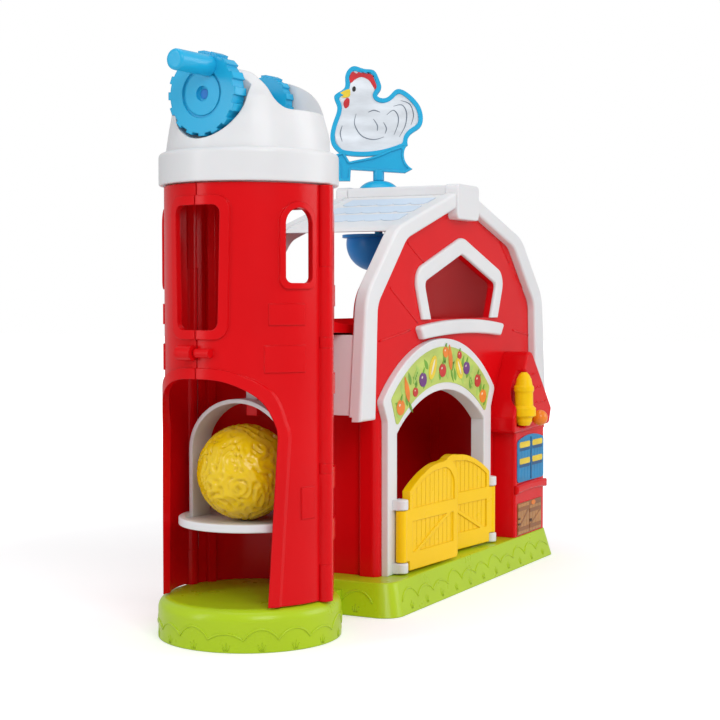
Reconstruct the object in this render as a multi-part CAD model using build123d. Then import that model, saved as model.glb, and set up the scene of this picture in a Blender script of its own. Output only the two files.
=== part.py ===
from build123d import *
import math
import os

# Toy barn with a silo lift. Millimetres, +Z up. The front faces -Y and the silo stands on the -X side.
# The origin is the centre of the barn base's underside.

# ---- driving dimensions: bases ----
base_length = 302.0
base_depth = 127.0
base_height = 22.0
base_flare = 5.5
base_corner = 14.0
base_wall = 2.5
base_deck = 3.0
cover_thickness = 2.0
cover_gap = 0.9
silo_offset = 74.5
silo_turn = -5.0
silo_base_radius = 57.0
silo_base_height = 25.0
silo_base_shoulder = 7.0
bridge_width = 46.0
bridge_height = 16.0
screw_head_radius = 3.0
screw_shank_radius = 1.5
screw_length = 12.0
boss_radius = 4.5

# ---- driving dimensions: barn body ----
barn_x = 3.5
barn_half = 131.5
wall_front = -39.5
wall_back = 45.5
rear_door_x = -28.0
rear_door_half = 68.0
rear_door_sill = 8.0
rear_door_spring_z = 112.0
rear_door_top_z = 150.0
wall_thickness = 5.2
side_wall = 3.2
side_recess = 3.5
return_width = 7.0
corner_return = 8.0
corner_round = 5.0
eave_z = 132.0
loft_z = 185.0
loft_thickness = 3.0

# ---- driving dimensions: gable outline, as half widths and heights ----
ridge_z = 290.5
shoulder_half = 113.0
shoulder_z = 256.8
hip_half = 159.0
hip_z = 211.0
foot_half = 168.0
foot_z = 129.0
shoulder_round = 40.0
hip_round = 30.0
trim_apex_z = 279.0
trim_shoulder_half = 97.7
trim_shoulder_z = 249.4
trim_hip_half = 142.0
trim_hip_z = 204.5
trim_foot_half = 145.5
trim_face = 6.5
trim_flange_depth = 2.0
trim_edge = 2.2
roof_drop = 1.0
panel_thickness = 3.0
floor_gap = 1.2
keystone_half = 19.8
keystone_shift = 2.0
keystone_z = 266.5
keystone_proud = 1.5
ridge_cap_half = 19.0
ridge_cap_rise = 1.0
fit_gap = 0.4

# ---- driving dimensions: loft window and sill ----
window_shift = 4.5
window_half_top = 66.0
window_half_bottom = 55.0
window_low_z = 194.0
window_side_z = 220.0
window_apex_z = 241.5
window_frame_width = 12.5
window_frame_proud = 2.5
sill_shift = 3.5
sill_half = 77.5
sill_low_z = 180.0
sill_height = 14.0
sill_rise = 3.0
sill_proud = 5.0
soft_edge = 1.8
lining = 2.5

# ---- driving dimensions: door arch and doors ----
arch_shift = -36.0
arch_post_half = 89.0
arch_inner_half = 75.2
arch_shoulder_half = 96.5
arch_waist_z = 126.0
arch_shoulder_z = 140.0
arch_top_z = 180.0
arch_spring_z = 117.0
arch_inner_top_z = 143.0
arch_proud = 5.0
label_half = 85.0
label_low_half = 76.5
label_low_z = 122.0
label_side_z = 141.0
label_top_z = 174.3
label_inner_top_z = 148.5
label_thickness = 0.4
door_hinge_half = 77.5
door_hinge_gap = 4.2
door_thickness = 6.0
door_low_z = 24.0
door_top_z = 94.0
door_shoulder_z = 74.0
door_meeting_gap = 3.6
left_door_rest = -4.0
right_door_rest = -7.0
door_barrel_radius = 3.8
pin_radius = 1.6
pin_clearance = 0.06
bracket_radius = 4.7
bracket_height = 7.0
bracket_low_z = 23.0
bracket_high_z = 66.0
bracket_clearance = 0.5
door_rim = 4.7
door_relief_depth = 0.8
door_groove = 0.5
plank_pitch = 6.2
rail_low_z = 57.0
rail_height = 9.0
kick_rail_low_z = 29.7
kick_rail_height = 6.4
brace_width = 6.5
handle_strip = 6.5

# ---- driving dimensions: stable beside the arch ----
stable_left = 74.0
stable_right = 137.0
stable_front = -57.5
stable_top_z = 104.0
stable_shell = 3.0
stable_ridge_x = 97.5
stable_ridge_z = 172.0
stable_eave_z = 104.2
stable_overhang = 9.5
stable_roof_front = -60.5
stable_eave_height = 12.5
stable_eave_tilt = 3.0
awning_z = 56.0
awning_height = 6.5
awning_proud = 3.0
awning_bow = 1.5
corn_x = 79.5
corn_y = -62.5
corn_radius = 7.0
corn_collar_radius = 9.4
corn_low_z = 110.0
corn_length = 41.5
corn_pocket_gap = 0.8
corn_arm = 1.4
corn_arm_gap = 0.6
knob_x = 97.0
knob_z = 115.0
knob_radius = 6.2
knob_stem_radius = 3.6
knob_reach = 8.6

# ---- driving dimensions: sound unit ----
board_height = 34.0
board_thickness = 1.6
speaker_radius = 14.0
speaker_z = 42.0
battery_x = 74.0
battery_length = 44.5
battery_radius = 5.25
battery_pitch = 11.6

# ---- driving dimensions: silo ----
silo_radius = 52.3
silo_wall = 2.6
silo_top_z = 277.0
door_foot_gap = 0.8
hinge_angle = 96.0
hinge_pitch_radius = 52.5
pipe_radius = 5.2
pipe_clearance = 0.4
knuckle_levels = (47.5, 103.0, 109.0, 179.0, 185.5, 228.0)
knuckle_gap = 0.3
silo_pin_radius = 1.5
seam_gap = 0.8
frame_proud = 1.6
mouth_bottom_half = 38.9
mouth_side_half = 43.7
mouth_side_z = 125.0
mouth_top_z = 161.0
mouth_frame_width = 6.5
mouth_frame_side = 3.7
front_window_half = 16.6
front_window_low_half = 15.0
front_window_low_z = 190.0
front_window_high_z = 264.0
front_window_frame = 5.5
side_window_angle = 70.5
side_window_half = 9.6
side_window_low_z = 218.0
side_window_high_z = 262.5
side_window_frame = 3.6
back_opening_half = 33.5
back_opening_low_z = 188.0
back_opening_high_z = 266.0
brick_proud = 0.9
rail_angle = 68.0
rail_width = 6.0
rail_depth = 3.0
latch_z = 176.5
latch_socket_radius = 4.5
latch_pin_radius = 2.8
latch_length = 11.0
latch_socket_side = 1

# ---- driving dimensions: silo cap ----
cap_rim_radius = 55.5
cap_rim_low_z = 277.8
cap_rim_high_z = 297.5
cap_dome_radius = 51.0
cap_dome_height = 49.5
cap_dome_lean = 5.0
cap_wall = 3.0
dome_shares = (
    (0.0, 1.0, 0.0), (0.15, 0.98, 0.0), (0.3, 0.955, 0.04), (0.41, 0.929, 0.12), (0.52, 0.904, 0.24),
    (0.62, 0.874, 0.4), (0.73, 0.81, 0.54), (0.85, 0.694, 0.8), (0.95, 0.553, 0.98), (1.0, 0.46, 1.06),
)
axle_z = 330.0
pocket_wall_x = -33.0
valley_front_x = -27.0
valley_back_x = 23.5
valley_floor_z = 320.9
valley_round = 10.0
drum_slot_half = 11.0

# ---- driving dimensions: crank and hoist ----
crank_radius = 23.5
crank_tooth = 1.5
crank_teeth = 16
crank_face_x = -47.0
crank_thickness = 11.0
crank_pocket_gap = 1.8
crank_ring_radius = 14.5
hub_hole_radius = 4.4
axle_radius = 3.0
handle_radius = 6.2
handle_length = 31.5
handle_pitch_radius = 16.6
handle_angle = 18.0
hoist_wheel_radius = 17.0
hoist_wheel_face_x = 15.5
hoist_wheel_thickness = 7.0
hoist_wheel_gap = 1.0
drum_radius = 6.0
drum_flange_radius = 9.0
drum_length = 9.0
cord_radius = 0.7
bearer_thickness = 3.0

# ---- driving dimensions: lift car and ball ----
car_floor_z = 69.0
car_radius = 44.3
car_rim_height = 5.0
car_floor_thickness = 2.2
car_rim_width = 4.0
bail_half = 38.5
bail_spring_z = 114.0
bail_top_z = 147.0
bail_thickness = 2.6
bail_depth = 18.0
bail_front_x = -12.0
tab_height = 6.0
tab_width = 9.0
ball_radius = 30.0
ball_wall = 1.8
ball_offset_x = -5.0
ball_lift_gap = 0.3

# ---- driving dimensions: weathervane ----
vane_y = 26.0
vane_view_angle = -62.5
vane_boss_radius = 15.0
vane_boss_height = 6.0
vane_post_radius = 4.2
vane_arrow_low_z = 306.0
vane_thickness = 7.0
hen_rim = 3.4
arrow_rim = 1.6
hen_recess = 1.2
bowl_rim_radius = 27.5
bowl_radius = 24.0
bowl_rim_z = 256.8
bowl_low_z = 230.0
vane_shaft_radius = 3.0

# ---- driving dimensions: ball run in the barn ----
chute_width = 65.0
chute_wall = 2.5
chute_lip_height = 5.0
chute_drop = 2.0
drop_hole_radius = 36.0
drop_hole_x = 62.0
backboard_x = 104.0
ramp_low_z = 3.0
ramp_high_z = 20.0

os.makedirs("parts", exist_ok=True)

# ---- derived places ----
silo_x = -(base_length / 2 + silo_offset)
arch_x = barn_x + arch_shift
silo_place = Pos(silo_x, 0, 0) * Rot(0, 0, silo_turn)
silo_inner_radius = silo_radius - silo_wall
silo_floor_z = silo_base_height
silo_leaf_low_z = silo_floor_z + door_foot_gap
hinge_y = wall_front - arch_proud - door_hinge_gap
roof_front_y = wall_front + trim_flange_depth
roof_back_y = wall_back - trim_flange_depth
roof_slope = (ridge_z - shoulder_z) / shoulder_half
ridge_cap_top_z = ridge_z + ridge_cap_rise
roof_foot_z = foot_z + roof_drop + panel_thickness


def save(name, shape):
    """Write one sub-part under its own name."""
    shape.label = name
    export_step(shape, f"parts/{name}.step")


def box(x0, x1, y0, y1, z0, z1):
    """A block between two corners."""
    middle = Pos((x0 + x1) / 2, (y0 + y1) / 2, (z0 + z1) / 2)
    return middle * Box(x1 - x0, y1 - y0, z1 - z0)


def upright(radius, z0, z1, x=0.0, y=0.0):
    """A vertical round bar."""
    return Pos(x, y, (z0 + z1) / 2) * Cylinder(radius, z1 - z0)


def along_y(face, y0, y1):
    """Extrude a face drawn as (x, z) from y0 to y1."""
    plane = Plane(origin=(0, y0, 0), x_dir=(1, 0, 0), z_dir=(0, -1, 0))
    return extrude(plane * face, -(y1 - y0))


def along_x(face, x0, x1):
    """Extrude a face drawn as (y, z) from x0 to x1."""
    plane = Plane(origin=(x0, 0, 0), x_dir=(0, 1, 0), z_dir=(1, 0, 0))
    return extrude(plane * face, x1 - x0)


def lying(radius, x0, x1, y=0.0, z=0.0):
    """A round bar along X."""
    return Pos((x0 + x1) / 2, y, z) * Rot(0, 90, 0) * Cylinder(radius, x1 - x0)


def closed_face(corners):
    """A face from its corners."""
    return make_face(Polyline(*corners, close=True))


def sector(r_in, r_out, a0, a1, z0, z1):
    """A ring sector between two angles and two heights."""
    outer = CenterArc((0, 0), r_out, a0, a1 - a0)
    inner = CenterArc((0, 0), r_in, a0, a1 - a0)
    sides = [Line(outer @ 0, inner @ 0), Line(outer @ 1, inner @ 1)]
    return Pos(0, 0, z0) * extrude(make_face(Curve() + [outer, inner, *sides]), z1 - z0)


def rounded_plan(length, depth, corner):
    """A rounded rectangle on the XY plane."""
    return RectangleRounded(length, depth, corner)


# ---- bases ----
def barn_base():
    """Green tray turned upside down, with sides that flare out to the floor."""
    low = rounded_plan(base_length, base_depth, base_corner)
    high = rounded_plan(base_length - 2 * base_flare, base_depth - 2 * base_flare, base_corner - 2)
    outside = loft([low, Pos(0, 0, base_height) * high])
    top_edges = outside.edges().group_by(Axis.Z)[-1]
    outside = fillet(top_edges, 1.5)
    low_in = rounded_plan(base_length - 2 * base_wall, base_depth - 2 * base_wall, base_corner - base_wall)
    inner_trim = 2 * (base_flare + base_wall)
    high_in = rounded_plan(base_length - inner_trim, base_depth - inner_trim, base_corner - 4)
    inside = loft([low_in, Pos(0, 0, base_height - base_deck) * high_in])
    shell = outside - inside
    for x, y in screw_places():
        shell += upright(boss_radius, cover_thickness, base_height - base_deck + 0.5, x, y)
        shell -= upright(screw_shank_radius, 0, screw_length, x, y)
    return shell


def screw_places():
    """Four screws near the corners of the barn base."""
    x = base_length / 2 - 26
    y = base_depth / 2 - 24
    return [(-x, -y), (x, -y), (-x, y), (x, y)]


def barn_base_cover():
    """Flat plate that closes the barn base from below."""
    inset = 2 * (base_wall + cover_gap)
    plan = rounded_plan(base_length - inset, base_depth - inset, base_corner - base_wall - cover_gap)
    plate = extrude(plan, cover_thickness)
    for x, y in screw_places():
        plate -= upright(screw_shank_radius + 0.2, 0, cover_thickness, x, y)
        plate -= upright(screw_head_radius + 0.3, 0, cover_thickness / 2, x, y)
    return plate


def base_screws():
    """Four screws that hold the cover to the bosses."""
    group = []
    for x, y in screw_places():
        head = upright(screw_head_radius, 0.1, cover_thickness / 2, x, y)
        shank = upright(screw_shank_radius, cover_thickness / 2, screw_length, x, y)
        group.append(head + shank)
    return Compound(children=[*group, silo_base_screw()])


def silo_base():
    """Round green foot with a rounded shoulder, hollow below."""
    radius = silo_base_radius
    height = silo_base_height
    shoulder = silo_base_shoulder
    side = Line((radius, 0), (radius, height - shoulder))
    turn = JernArc(side @ 1, (0, 1), shoulder, 90)
    top = Line(turn @ 1, (0, height))
    axis = Line((0, height), (0, 0))
    floor = Line((0, 0), (radius, 0))
    profile = make_face(Curve() + [side, turn, top, axis, floor])
    solid = revolve(Plane.XZ * profile, Axis.Z)
    hollow = upright(radius - base_wall, 0, height - base_deck - shoulder / 2)
    post = upright(boss_radius, cover_thickness, height - base_deck)
    solid = solid - hollow + post
    return silo_place * (solid - upright(screw_shank_radius, 0, screw_length))


def silo_base_cover():
    """Round plate that closes the silo foot from below."""
    plate = upright(silo_base_radius - base_wall - cover_gap, 0, cover_thickness)
    plate -= upright(screw_shank_radius + 0.2, 0, cover_thickness)
    plate -= upright(screw_head_radius + 0.3, 0, cover_thickness / 2)
    return silo_place * plate


def silo_base_screw():
    """One screw in the middle of the silo foot."""
    head = upright(screw_head_radius, 0.1, cover_thickness / 2)
    return silo_place * (head + upright(screw_shank_radius, cover_thickness / 2, screw_length))


def base_bridge():
    """Low link between the two bases."""
    reach = silo_x + silo_base_radius - 8
    block = box(reach, -base_length / 2 + 6, -bridge_width / 2, bridge_width / 2, 0, bridge_height)
    block = block - upright(silo_base_radius, 0, silo_base_height, silo_x)
    tray = loft([
        rounded_plan(base_length, base_depth, base_corner),
        Pos(0, 0, base_height) * rounded_plan(
            base_length - 2 * base_flare, base_depth - 2 * base_flare, base_corner - 2),
    ])
    return block - tray


# ---- barn outline helpers ----
def gable_line(points, apex_z, rounds):
    """A symmetric gable face from half widths and heights, with its hips and shoulders rounded."""
    right = [(barn_x + half, z) for half, z in points]
    left = [(barn_x - half, z) for half, z in reversed(points)]
    face = closed_face([*right, (barn_x, apex_z), *left])
    for radius, (half, z) in zip(rounds, points[1:]):
        level = [v for v in face.vertices() if abs(v.Y - z) < 0.01]
        corners = [v for v in level if abs(abs(v.X - barn_x) - half) < 0.01]
        face = fillet(corners, radius)
    return face


def gable_outer():
    """Outside of the roof trim."""
    points = [(foot_half, foot_z), (hip_half, hip_z), (shoulder_half, shoulder_z)]
    return gable_line(points, ridge_z, (hip_round, shoulder_round))


def gable_inner():
    """Inside edge of the roof trim's face."""
    points = [(trim_foot_half, foot_z - 1), (trim_hip_half, trim_hip_z),
              (trim_shoulder_half, trim_shoulder_z)]
    return gable_line(points, trim_apex_z, (hip_round * 0.5, shoulder_round * 0.6))


def gable_inset(distance):
    """Trim outline drawn in by a distance."""
    return offset(gable_outer(), -distance, kind=Kind.INTERSECTION)


def gable_trim(face_y, step):
    """White roof trim: a flat face with soft edges, a flange over the roof and a block at the ridge."""
    face_end = face_y + step * trim_face
    flange_end = face_end + step * trim_flange_depth
    face = along_y(gable_outer() - gable_inner(), min(face_y, face_end), max(face_y, face_end))
    face = fillet(face.faces().sort_by(Axis.Y)[0 if step > 0 else -1].edges(), trim_edge)
    rim = gable_outer() - gable_inset(panel_thickness)
    flange = along_y(rim, min(face_end, flange_end), max(face_end, flange_end))
    flange -= box(-400, 400, -200, 200, 0, foot_z + panel_thickness)
    return face + flange + keystone(face_y, face_end, flange_end, step)


def keystone(face_y, face_end, flange_end, step):
    """Block with a flat top at the peak of a trim."""
    proud_y = face_y - step * keystone_proud
    centre = barn_x + keystone_shift
    block = box(centre - keystone_half, centre + keystone_half, min(proud_y, flange_end),
                max(proud_y, flange_end), keystone_z, ridge_cap_top_z + keystone_proud / 2)
    corners = block.edges().filter_by(Axis.Y).group_by(Axis.Z)
    block = fillet(corners[0], 4)
    block = fillet(block.edges().filter_by(Axis.Y).group_by(Axis.Z)[-1], 4)
    front = block.faces().sort_by(Axis.Y)[0 if step > 0 else -1]
    block = fillet(front.edges(), trim_edge / 2)
    inside = gable_inset(panel_thickness)
    return block - along_y(inside, min(face_end, flange_end), max(face_end, flange_end))


def roof_band():
    """The roof skin all round, just under the trims' level, before it is cut into panels."""
    rim = gable_inset(roof_drop) - gable_inset(roof_drop + panel_thickness)
    return along_y(rim, roof_front_y, roof_back_y)


def roof_break_z():
    """Level of the joint between the upper roof and the steep panel."""
    return shoulder_z - 2.5


def roof_top():
    """Upper roof: two shallow slopes that meet at the ridge."""
    return roof_band() & box(-400, 400, -200, 200, roof_break_z(), ridge_z + 5)


def roof_right_panel():
    """Steep panel and skirt on the side away from the silo, in one piece."""
    return roof_band() & box(barn_x, 400, -200, 200, roof_foot_z, roof_break_z())


def roof_left_panel():
    """Skirt below the loft floor on the silo side, which leaves the loft open for the ball."""
    return roof_band() & box(-400, barn_x, -200, 200, roof_foot_z, loft_z)


def roof_level(x):
    """Height of the upper roof's surface at one place across the barn."""
    return ridge_z - roof_drop * math.hypot(1, roof_slope) - roof_slope * abs(x - barn_x)


def ridge_cap():
    """Flat-topped saddle along the ridge between the two trims, with the hole for the vane shaft."""
    left = barn_x + keystone_shift - ridge_cap_half
    right = barn_x + keystone_shift + ridge_cap_half
    corners = [(left, roof_level(left)), (barn_x, roof_level(barn_x)), (right, roof_level(right)),
               (right, ridge_cap_top_z), (left, ridge_cap_top_z)]
    saddle = along_y(closed_face(corners), roof_front_y, roof_back_y)
    saddle = fillet(saddle.edges().filter_by(Axis.Y).group_by(Axis.Z)[-1], 1.2)
    return saddle - vane_bore()


def vane_bore():
    """Clearance hole for the vane shaft."""
    return upright(vane_shaft_radius + pin_clearance, bowl_low_z, 400, barn_x, vane_y)


# ---- barn walls ----
def window_face(extra):
    """Five-sided loft window, grown by a margin."""
    centre = barn_x + window_shift
    corners = [
        (centre - window_half_bottom, window_low_z), (centre + window_half_bottom, window_low_z),
        (centre + window_half_top, window_side_z), (centre, window_apex_z),
        (centre - window_half_top, window_side_z),
    ]
    face = closed_face(corners)
    if extra > 0:
        face = offset(face, extra, kind=Kind.INTERSECTION)
    side_vertices = [v for v in face.vertices() if abs(v.X - centre) > window_half_bottom + extra * 0.9 + 4]
    face = fillet(side_vertices, 4 + extra * 0.7)
    return fillet(face.vertices().sort_by(Axis.Y)[-1], 12 + extra)


def arch_inner_face(extra):
    """Door opening: straight posts under a shallow arc, grown by a margin."""
    half = arch_inner_half + extra
    left = Line((arch_x - half, base_height), (arch_x - half, arch_spring_z))
    top = ThreePointArc(left @ 1, (arch_x, arch_inner_top_z + extra), (arch_x + half, arch_spring_z))
    right = Line(top @ 1, (arch_x + half, base_height))
    low = Line(right @ 1, left @ 0)
    return make_face(Curve() + [left, top, right, low])


def front_wall():
    """Red front with the door opening, the loft window and its two corner returns."""
    y0 = wall_front
    y1 = wall_front + wall_thickness
    upper = gable_inset(roof_drop + panel_thickness + fit_gap)
    upper_solid = along_y(upper, y0, y1)
    left = barn_x - barn_half
    right = barn_x + barn_half
    lower = box(left, right, y0, y1, base_height, eave_z + 4)
    lower += box(left, left + return_width, y1, y1 + corner_return, base_height, loft_z - loft_thickness)
    lower += box(right - return_width, right, y1, y1 + corner_return, base_height, loft_z - loft_thickness)
    post_edges = lower.edges().filter_by(Axis.Z).group_by(Axis.Y)[0]
    lower = fillet(post_edges, corner_round)
    wall = lower + upper_solid
    wall -= along_y(arch_inner_face(lining + 0.2), y0 - 1, y1 + 1)
    return wall - along_y(window_face(0), y0 - 1, y1 + 1)


def back_wall():
    """Red back up to the loft, with a wide opening for hands."""
    y0 = wall_back - wall_thickness
    y1 = wall_back
    left = barn_x - barn_half
    right = barn_x + barn_half
    wall = box(left, right, y0, y1, base_height, loft_z - loft_thickness)
    wall += box(left, left + return_width, y0 - corner_return, y0, base_height, loft_z - loft_thickness)
    wall += box(right - return_width, right, y0 - corner_return, y0, base_height, loft_z - loft_thickness)
    post_edges = wall.edges().filter_by(Axis.Z).group_by(Axis.Y)[-1]
    wall = fillet(post_edges, corner_round)
    return wall - along_y(back_opening_face(), y0 - 1, y1 + 1)


def back_opening_face():
    """Round-topped play opening in the back."""
    low = base_height + rear_door_sill
    centre = rear_door_x
    half = rear_door_half
    left = Line((centre - half, low), (centre - half, rear_door_spring_z))
    top = ThreePointArc(left @ 1, (centre, rear_door_top_z), (centre + half, rear_door_spring_z))
    right = Line(top @ 1, (centre + half, low))
    return make_face(Curve() + [left, top, right, Line(right @ 1, left @ 0)])


def side_wall_panel(side):
    """Recessed red side wall between the corner returns."""
    outer = barn_x + side * (barn_half - side_recess)
    inner = outer - side * side_wall
    y0 = wall_front + wall_thickness
    y1 = wall_back - wall_thickness
    panel = box(min(outer, inner), max(outer, inner), y0, y1, base_height, loft_z - loft_thickness)
    face_x = barn_x + side * barn_half
    step_x = face_x - side * return_width
    x0, x1 = min(face_x, step_x), max(face_x, step_x)
    for a, b in ((y0, y0 + corner_return), (y1 - corner_return, y1)):
        panel -= box(x0, x1, a, b, base_height, loft_z)
    return panel


def loft_floor():
    """Red floor of the loft, with the round hole that the ball drops through."""
    roof_half = foot_half - (foot_half - hip_half) * (loft_z - foot_z) / (hip_z - foot_z)
    half = roof_half - roof_drop - panel_thickness - floor_gap
    plate = box(barn_x - half, barn_x + half, wall_front + wall_thickness, wall_back - wall_thickness,
                loft_z - loft_thickness, loft_z)
    plate -= upright(drop_hole_radius, 0, 400, drop_hole_x, ball_lane_y())
    return plate + loft_rail(-1) + loft_rail(1)


def ball_lane_y():
    """Middle of the ball's lane between the front and back walls."""
    return (wall_front + wall_back) / 2


def loft_backboard():
    """Red board that stops the ball above the drop hole."""
    y0 = wall_front + wall_thickness
    y1 = wall_back - wall_thickness
    top = trim_shoulder_z + 2
    return box(backboard_x, backboard_x + 2.5, y0, y1, loft_z, top)


def loft_rail(side):
    """Low guide that keeps the ball in its lane."""
    y = ball_lane_y() + side * (chute_width / 2 + 1.2)
    return box(chute_end_x(), backboard_x, y - 1.2, y + 1.2, loft_z, loft_z + 9)


def chute_end_x():
    """Where the chute lands on the loft floor."""
    return barn_x - barn_half + 12


def chute():
    """Red trough that carries the ball from the silo into the loft."""
    x0 = silo_x + silo_radius - silo_wall
    x1 = chute_end_x()
    high = loft_z + chute_drop + chute_wall
    low = loft_z
    floor = closed_face([(x0, high - chute_wall), (x1, low), (x1, low + 0.6), (x0, high)])
    side = closed_face([(x0, high), (x1, low + 0.6), (x1, low + 3), (x0, high + chute_lip_height)])
    half = chute_width / 2
    y = ball_lane_y()
    body = along_y(floor, y - half, y + half)
    body += along_y(side, y - half, y - half + chute_wall)
    body += along_y(side, y + half - chute_wall, y + half)
    silo_ring = upright(silo_radius + 3.2, 0, 400, silo_x)
    return body - silo_ring


def ground_ramp():
    """Low wedge under the drop hole that sends the ball out of the front doors."""
    y0 = wall_front + wall_thickness + 6
    y1 = wall_back - wall_thickness
    z = base_height
    profile = closed_face([(y0, z), (y1, z), (y1, z + ramp_high_z), (y0, z + ramp_low_z)])
    x1 = barn_x + barn_half - 7 - fit_gap
    return along_x(profile, arch_x + arch_inner_half - 40, x1)


# ---- loft window trim ----
def loft_window_frame():
    """White frame round the loft window, with soft edges."""
    y0 = wall_front - window_frame_proud
    frame = along_y(window_face(window_frame_width) - window_face(0), y0, wall_front)
    frame = fillet(frame.faces().sort_by(Axis.Y)[0].edges(), soft_edge)
    return frame - box(-400, 400, -200, 200, 0, window_low_z)


def loft_sill():
    """White sill, slightly bowed upwards in the middle."""
    y0 = wall_front - sill_proud
    centre = barn_x + sill_shift
    low = ThreePointArc((centre - sill_half + 7, sill_low_z), (centre, sill_low_z + sill_rise),
                        (centre + sill_half - 7, sill_low_z))
    top_z = sill_low_z + sill_height - 5
    high = ThreePointArc((centre + sill_half, top_z), (centre, window_low_z - 0.5),
                         (centre - sill_half, top_z))
    face = make_face(Curve() + [low, Line(low @ 1, high @ 0), high, Line(high @ 1, low @ 0)])
    face = fillet(face.vertices(), 2)
    sill = along_y(face, y0, wall_front)
    return fillet(sill.faces().sort_by(Axis.Y)[0].edges(), soft_edge)


# ---- door arch ----
def arch_outer_face():
    """Posts that widen into shoulders under a broad arc."""
    half = arch_post_half
    wide = arch_shoulder_half
    right = [(arch_x + half, base_height), (arch_x + half, arch_waist_z), (arch_x + wide, arch_shoulder_z)]
    left = [(2 * arch_x - x, z) for x, z in right]
    rise = Polyline(*right)
    fall = Polyline(*reversed(left))
    top = ThreePointArc(rise @ 1, (arch_x, arch_top_z), fall @ 0)
    face = make_face(Curve() + [rise, top, fall, Line(fall @ 1, rise @ 0)])
    bends = [v for v in face.vertices() if arch_waist_z - 1 < v.Y < arch_shoulder_z + 1]
    return fillet(bends, 4)


def door_arch():
    """White arch in front of the wall, its lining, and four hinge brackets."""
    y0 = wall_front - arch_proud
    face = along_y(arch_outer_face() - arch_inner_face(0), y0, wall_front)
    face = fillet(face.faces().sort_by(Axis.Y)[0].edges(), soft_edge / 2)
    lining_face = arch_inner_face(lining) - arch_inner_face(0)
    inner = along_y(lining_face, wall_front, wall_front + wall_thickness + 0.5)
    arch = face + inner
    for side in (-1, 1):
        x = arch_x + side * door_hinge_half
        for z in (bracket_low_z, bracket_high_z):
            lug = upright(bracket_radius, z, z + bracket_height, x, hinge_y)
            lug = fillet(lug.edges(), soft_edge / 2)
            web = box(x - bracket_radius, x + bracket_radius, hinge_y, y0, z, z + bracket_height)
            arch += lug + web
        arch -= upright(pin_radius, bracket_low_z + 2, bracket_high_z + bracket_height - 2, x, hinge_y)
    return arch


def arch_label():
    """Printed label on the arch, a curved band."""
    right_low = (arch_x + label_low_half, label_low_z)
    right_high = (arch_x + label_half, label_side_z)
    left_high = (arch_x - label_half, label_side_z)
    left_low = (arch_x - label_low_half, label_low_z)
    top = ThreePointArc(right_high, (arch_x, label_top_z), left_high)
    low = ThreePointArc(left_low, (arch_x, label_inner_top_z), right_low)
    face = make_face(Curve() + [top, Line(left_high, left_low), low, Line(right_low, right_high)])
    face = fillet(face.vertices(), 3)
    y0 = wall_front - arch_proud
    return along_y(face, y0 - label_thickness, y0)


def door_hinge_pins():
    """One plain rod for each barn door."""
    rods = []
    for side in (-1, 1):
        x = arch_x + side * door_hinge_half
        rods.append(upright(pin_radius, bracket_low_z + 2, bracket_high_z + bracket_height - 2, x, hinge_y))
    return Compound(children=rods)


def barn_door(side):
    """Yellow door leaf, closed, with its hinge barrel. Side -1 is the left leaf."""
    hinge_x = arch_x + side * door_hinge_half
    free_x = arch_x + side * door_meeting_gap / 2
    y0 = hinge_y - door_thickness / 2
    y1 = hinge_y + door_thickness / 2
    leaf = along_y(door_face(side, hinge_x, free_x, door_top_z), y0, y1)
    leaf = fillet(leaf.edges().filter_by(Axis.Y).group_by(Axis.Z)[0], 2.5)
    reach = bracket_radius + 1.8
    high = bracket_high_z - bracket_clearance
    leaf -= box(hinge_x - reach, hinge_x + reach, y0 - 1, y1 + 1, base_height,
                bracket_low_z + bracket_height + bracket_clearance)
    leaf -= box(hinge_x - reach, hinge_x + reach, y0 - 1, y1 + 1, high, door_top_z)
    barrel_low = bracket_low_z + bracket_height + bracket_clearance
    leaf += upright(door_barrel_radius, barrel_low, high, hinge_x, hinge_y)
    leaf -= door_panel(side, hinge_x, free_x, y0 - 1, y0 + door_relief_depth)
    deep_y = y0 + door_relief_depth + door_groove
    field = door_panel(side, hinge_x, free_x, y0 - 1, deep_y)
    for line in plank_lines(side, hinge_x, y0 - 1, deep_y):
        leaf -= line & field
    return leaf - upright(pin_radius + pin_clearance, base_height, door_top_z + 5, hinge_x, hinge_y)


def door_face(side, hinge_x, free_x, high_z):
    """Leaf outline: a curve that climbs steeply from the hinge and rounds over at the free edge."""
    run = abs(free_x - hinge_x)
    rise = door_top_z - door_shoulder_z
    start_z = high_z - rise
    heights = ((0.0, -2.0), (0.2, 0.46 * rise), (0.42, 0.82 * rise), (0.58, 0.97 * rise), (0.72, rise))
    points = [(hinge_x - side * share * run, start_z + z) for share, z in heights]
    top = Spline(*points, tangents=[(-side * 1.0, 1.1), (-side * 1.0, 0)])
    over = ThreePointArc(points[-1], (free_x + side * 4.8, high_z - 3.6), (free_x, high_z - 11))
    free = Line(over @ 1, (free_x, door_low_z))
    low = Line((free_x, door_low_z), (hinge_x, door_low_z))
    return make_face(Curve() + [top, over, free, low, Line((hinge_x, door_low_z), points[0])])


def across_door(side, hinge_x, s0, s1, z0, z1):
    """A rectangle on the leaf's face, measured from the hinge."""
    a = hinge_x - side * s0
    b = hinge_x - side * s1
    return closed_face([(min(a, b), z0), (max(a, b), z0), (max(a, b), z1), (min(a, b), z1)])


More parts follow.
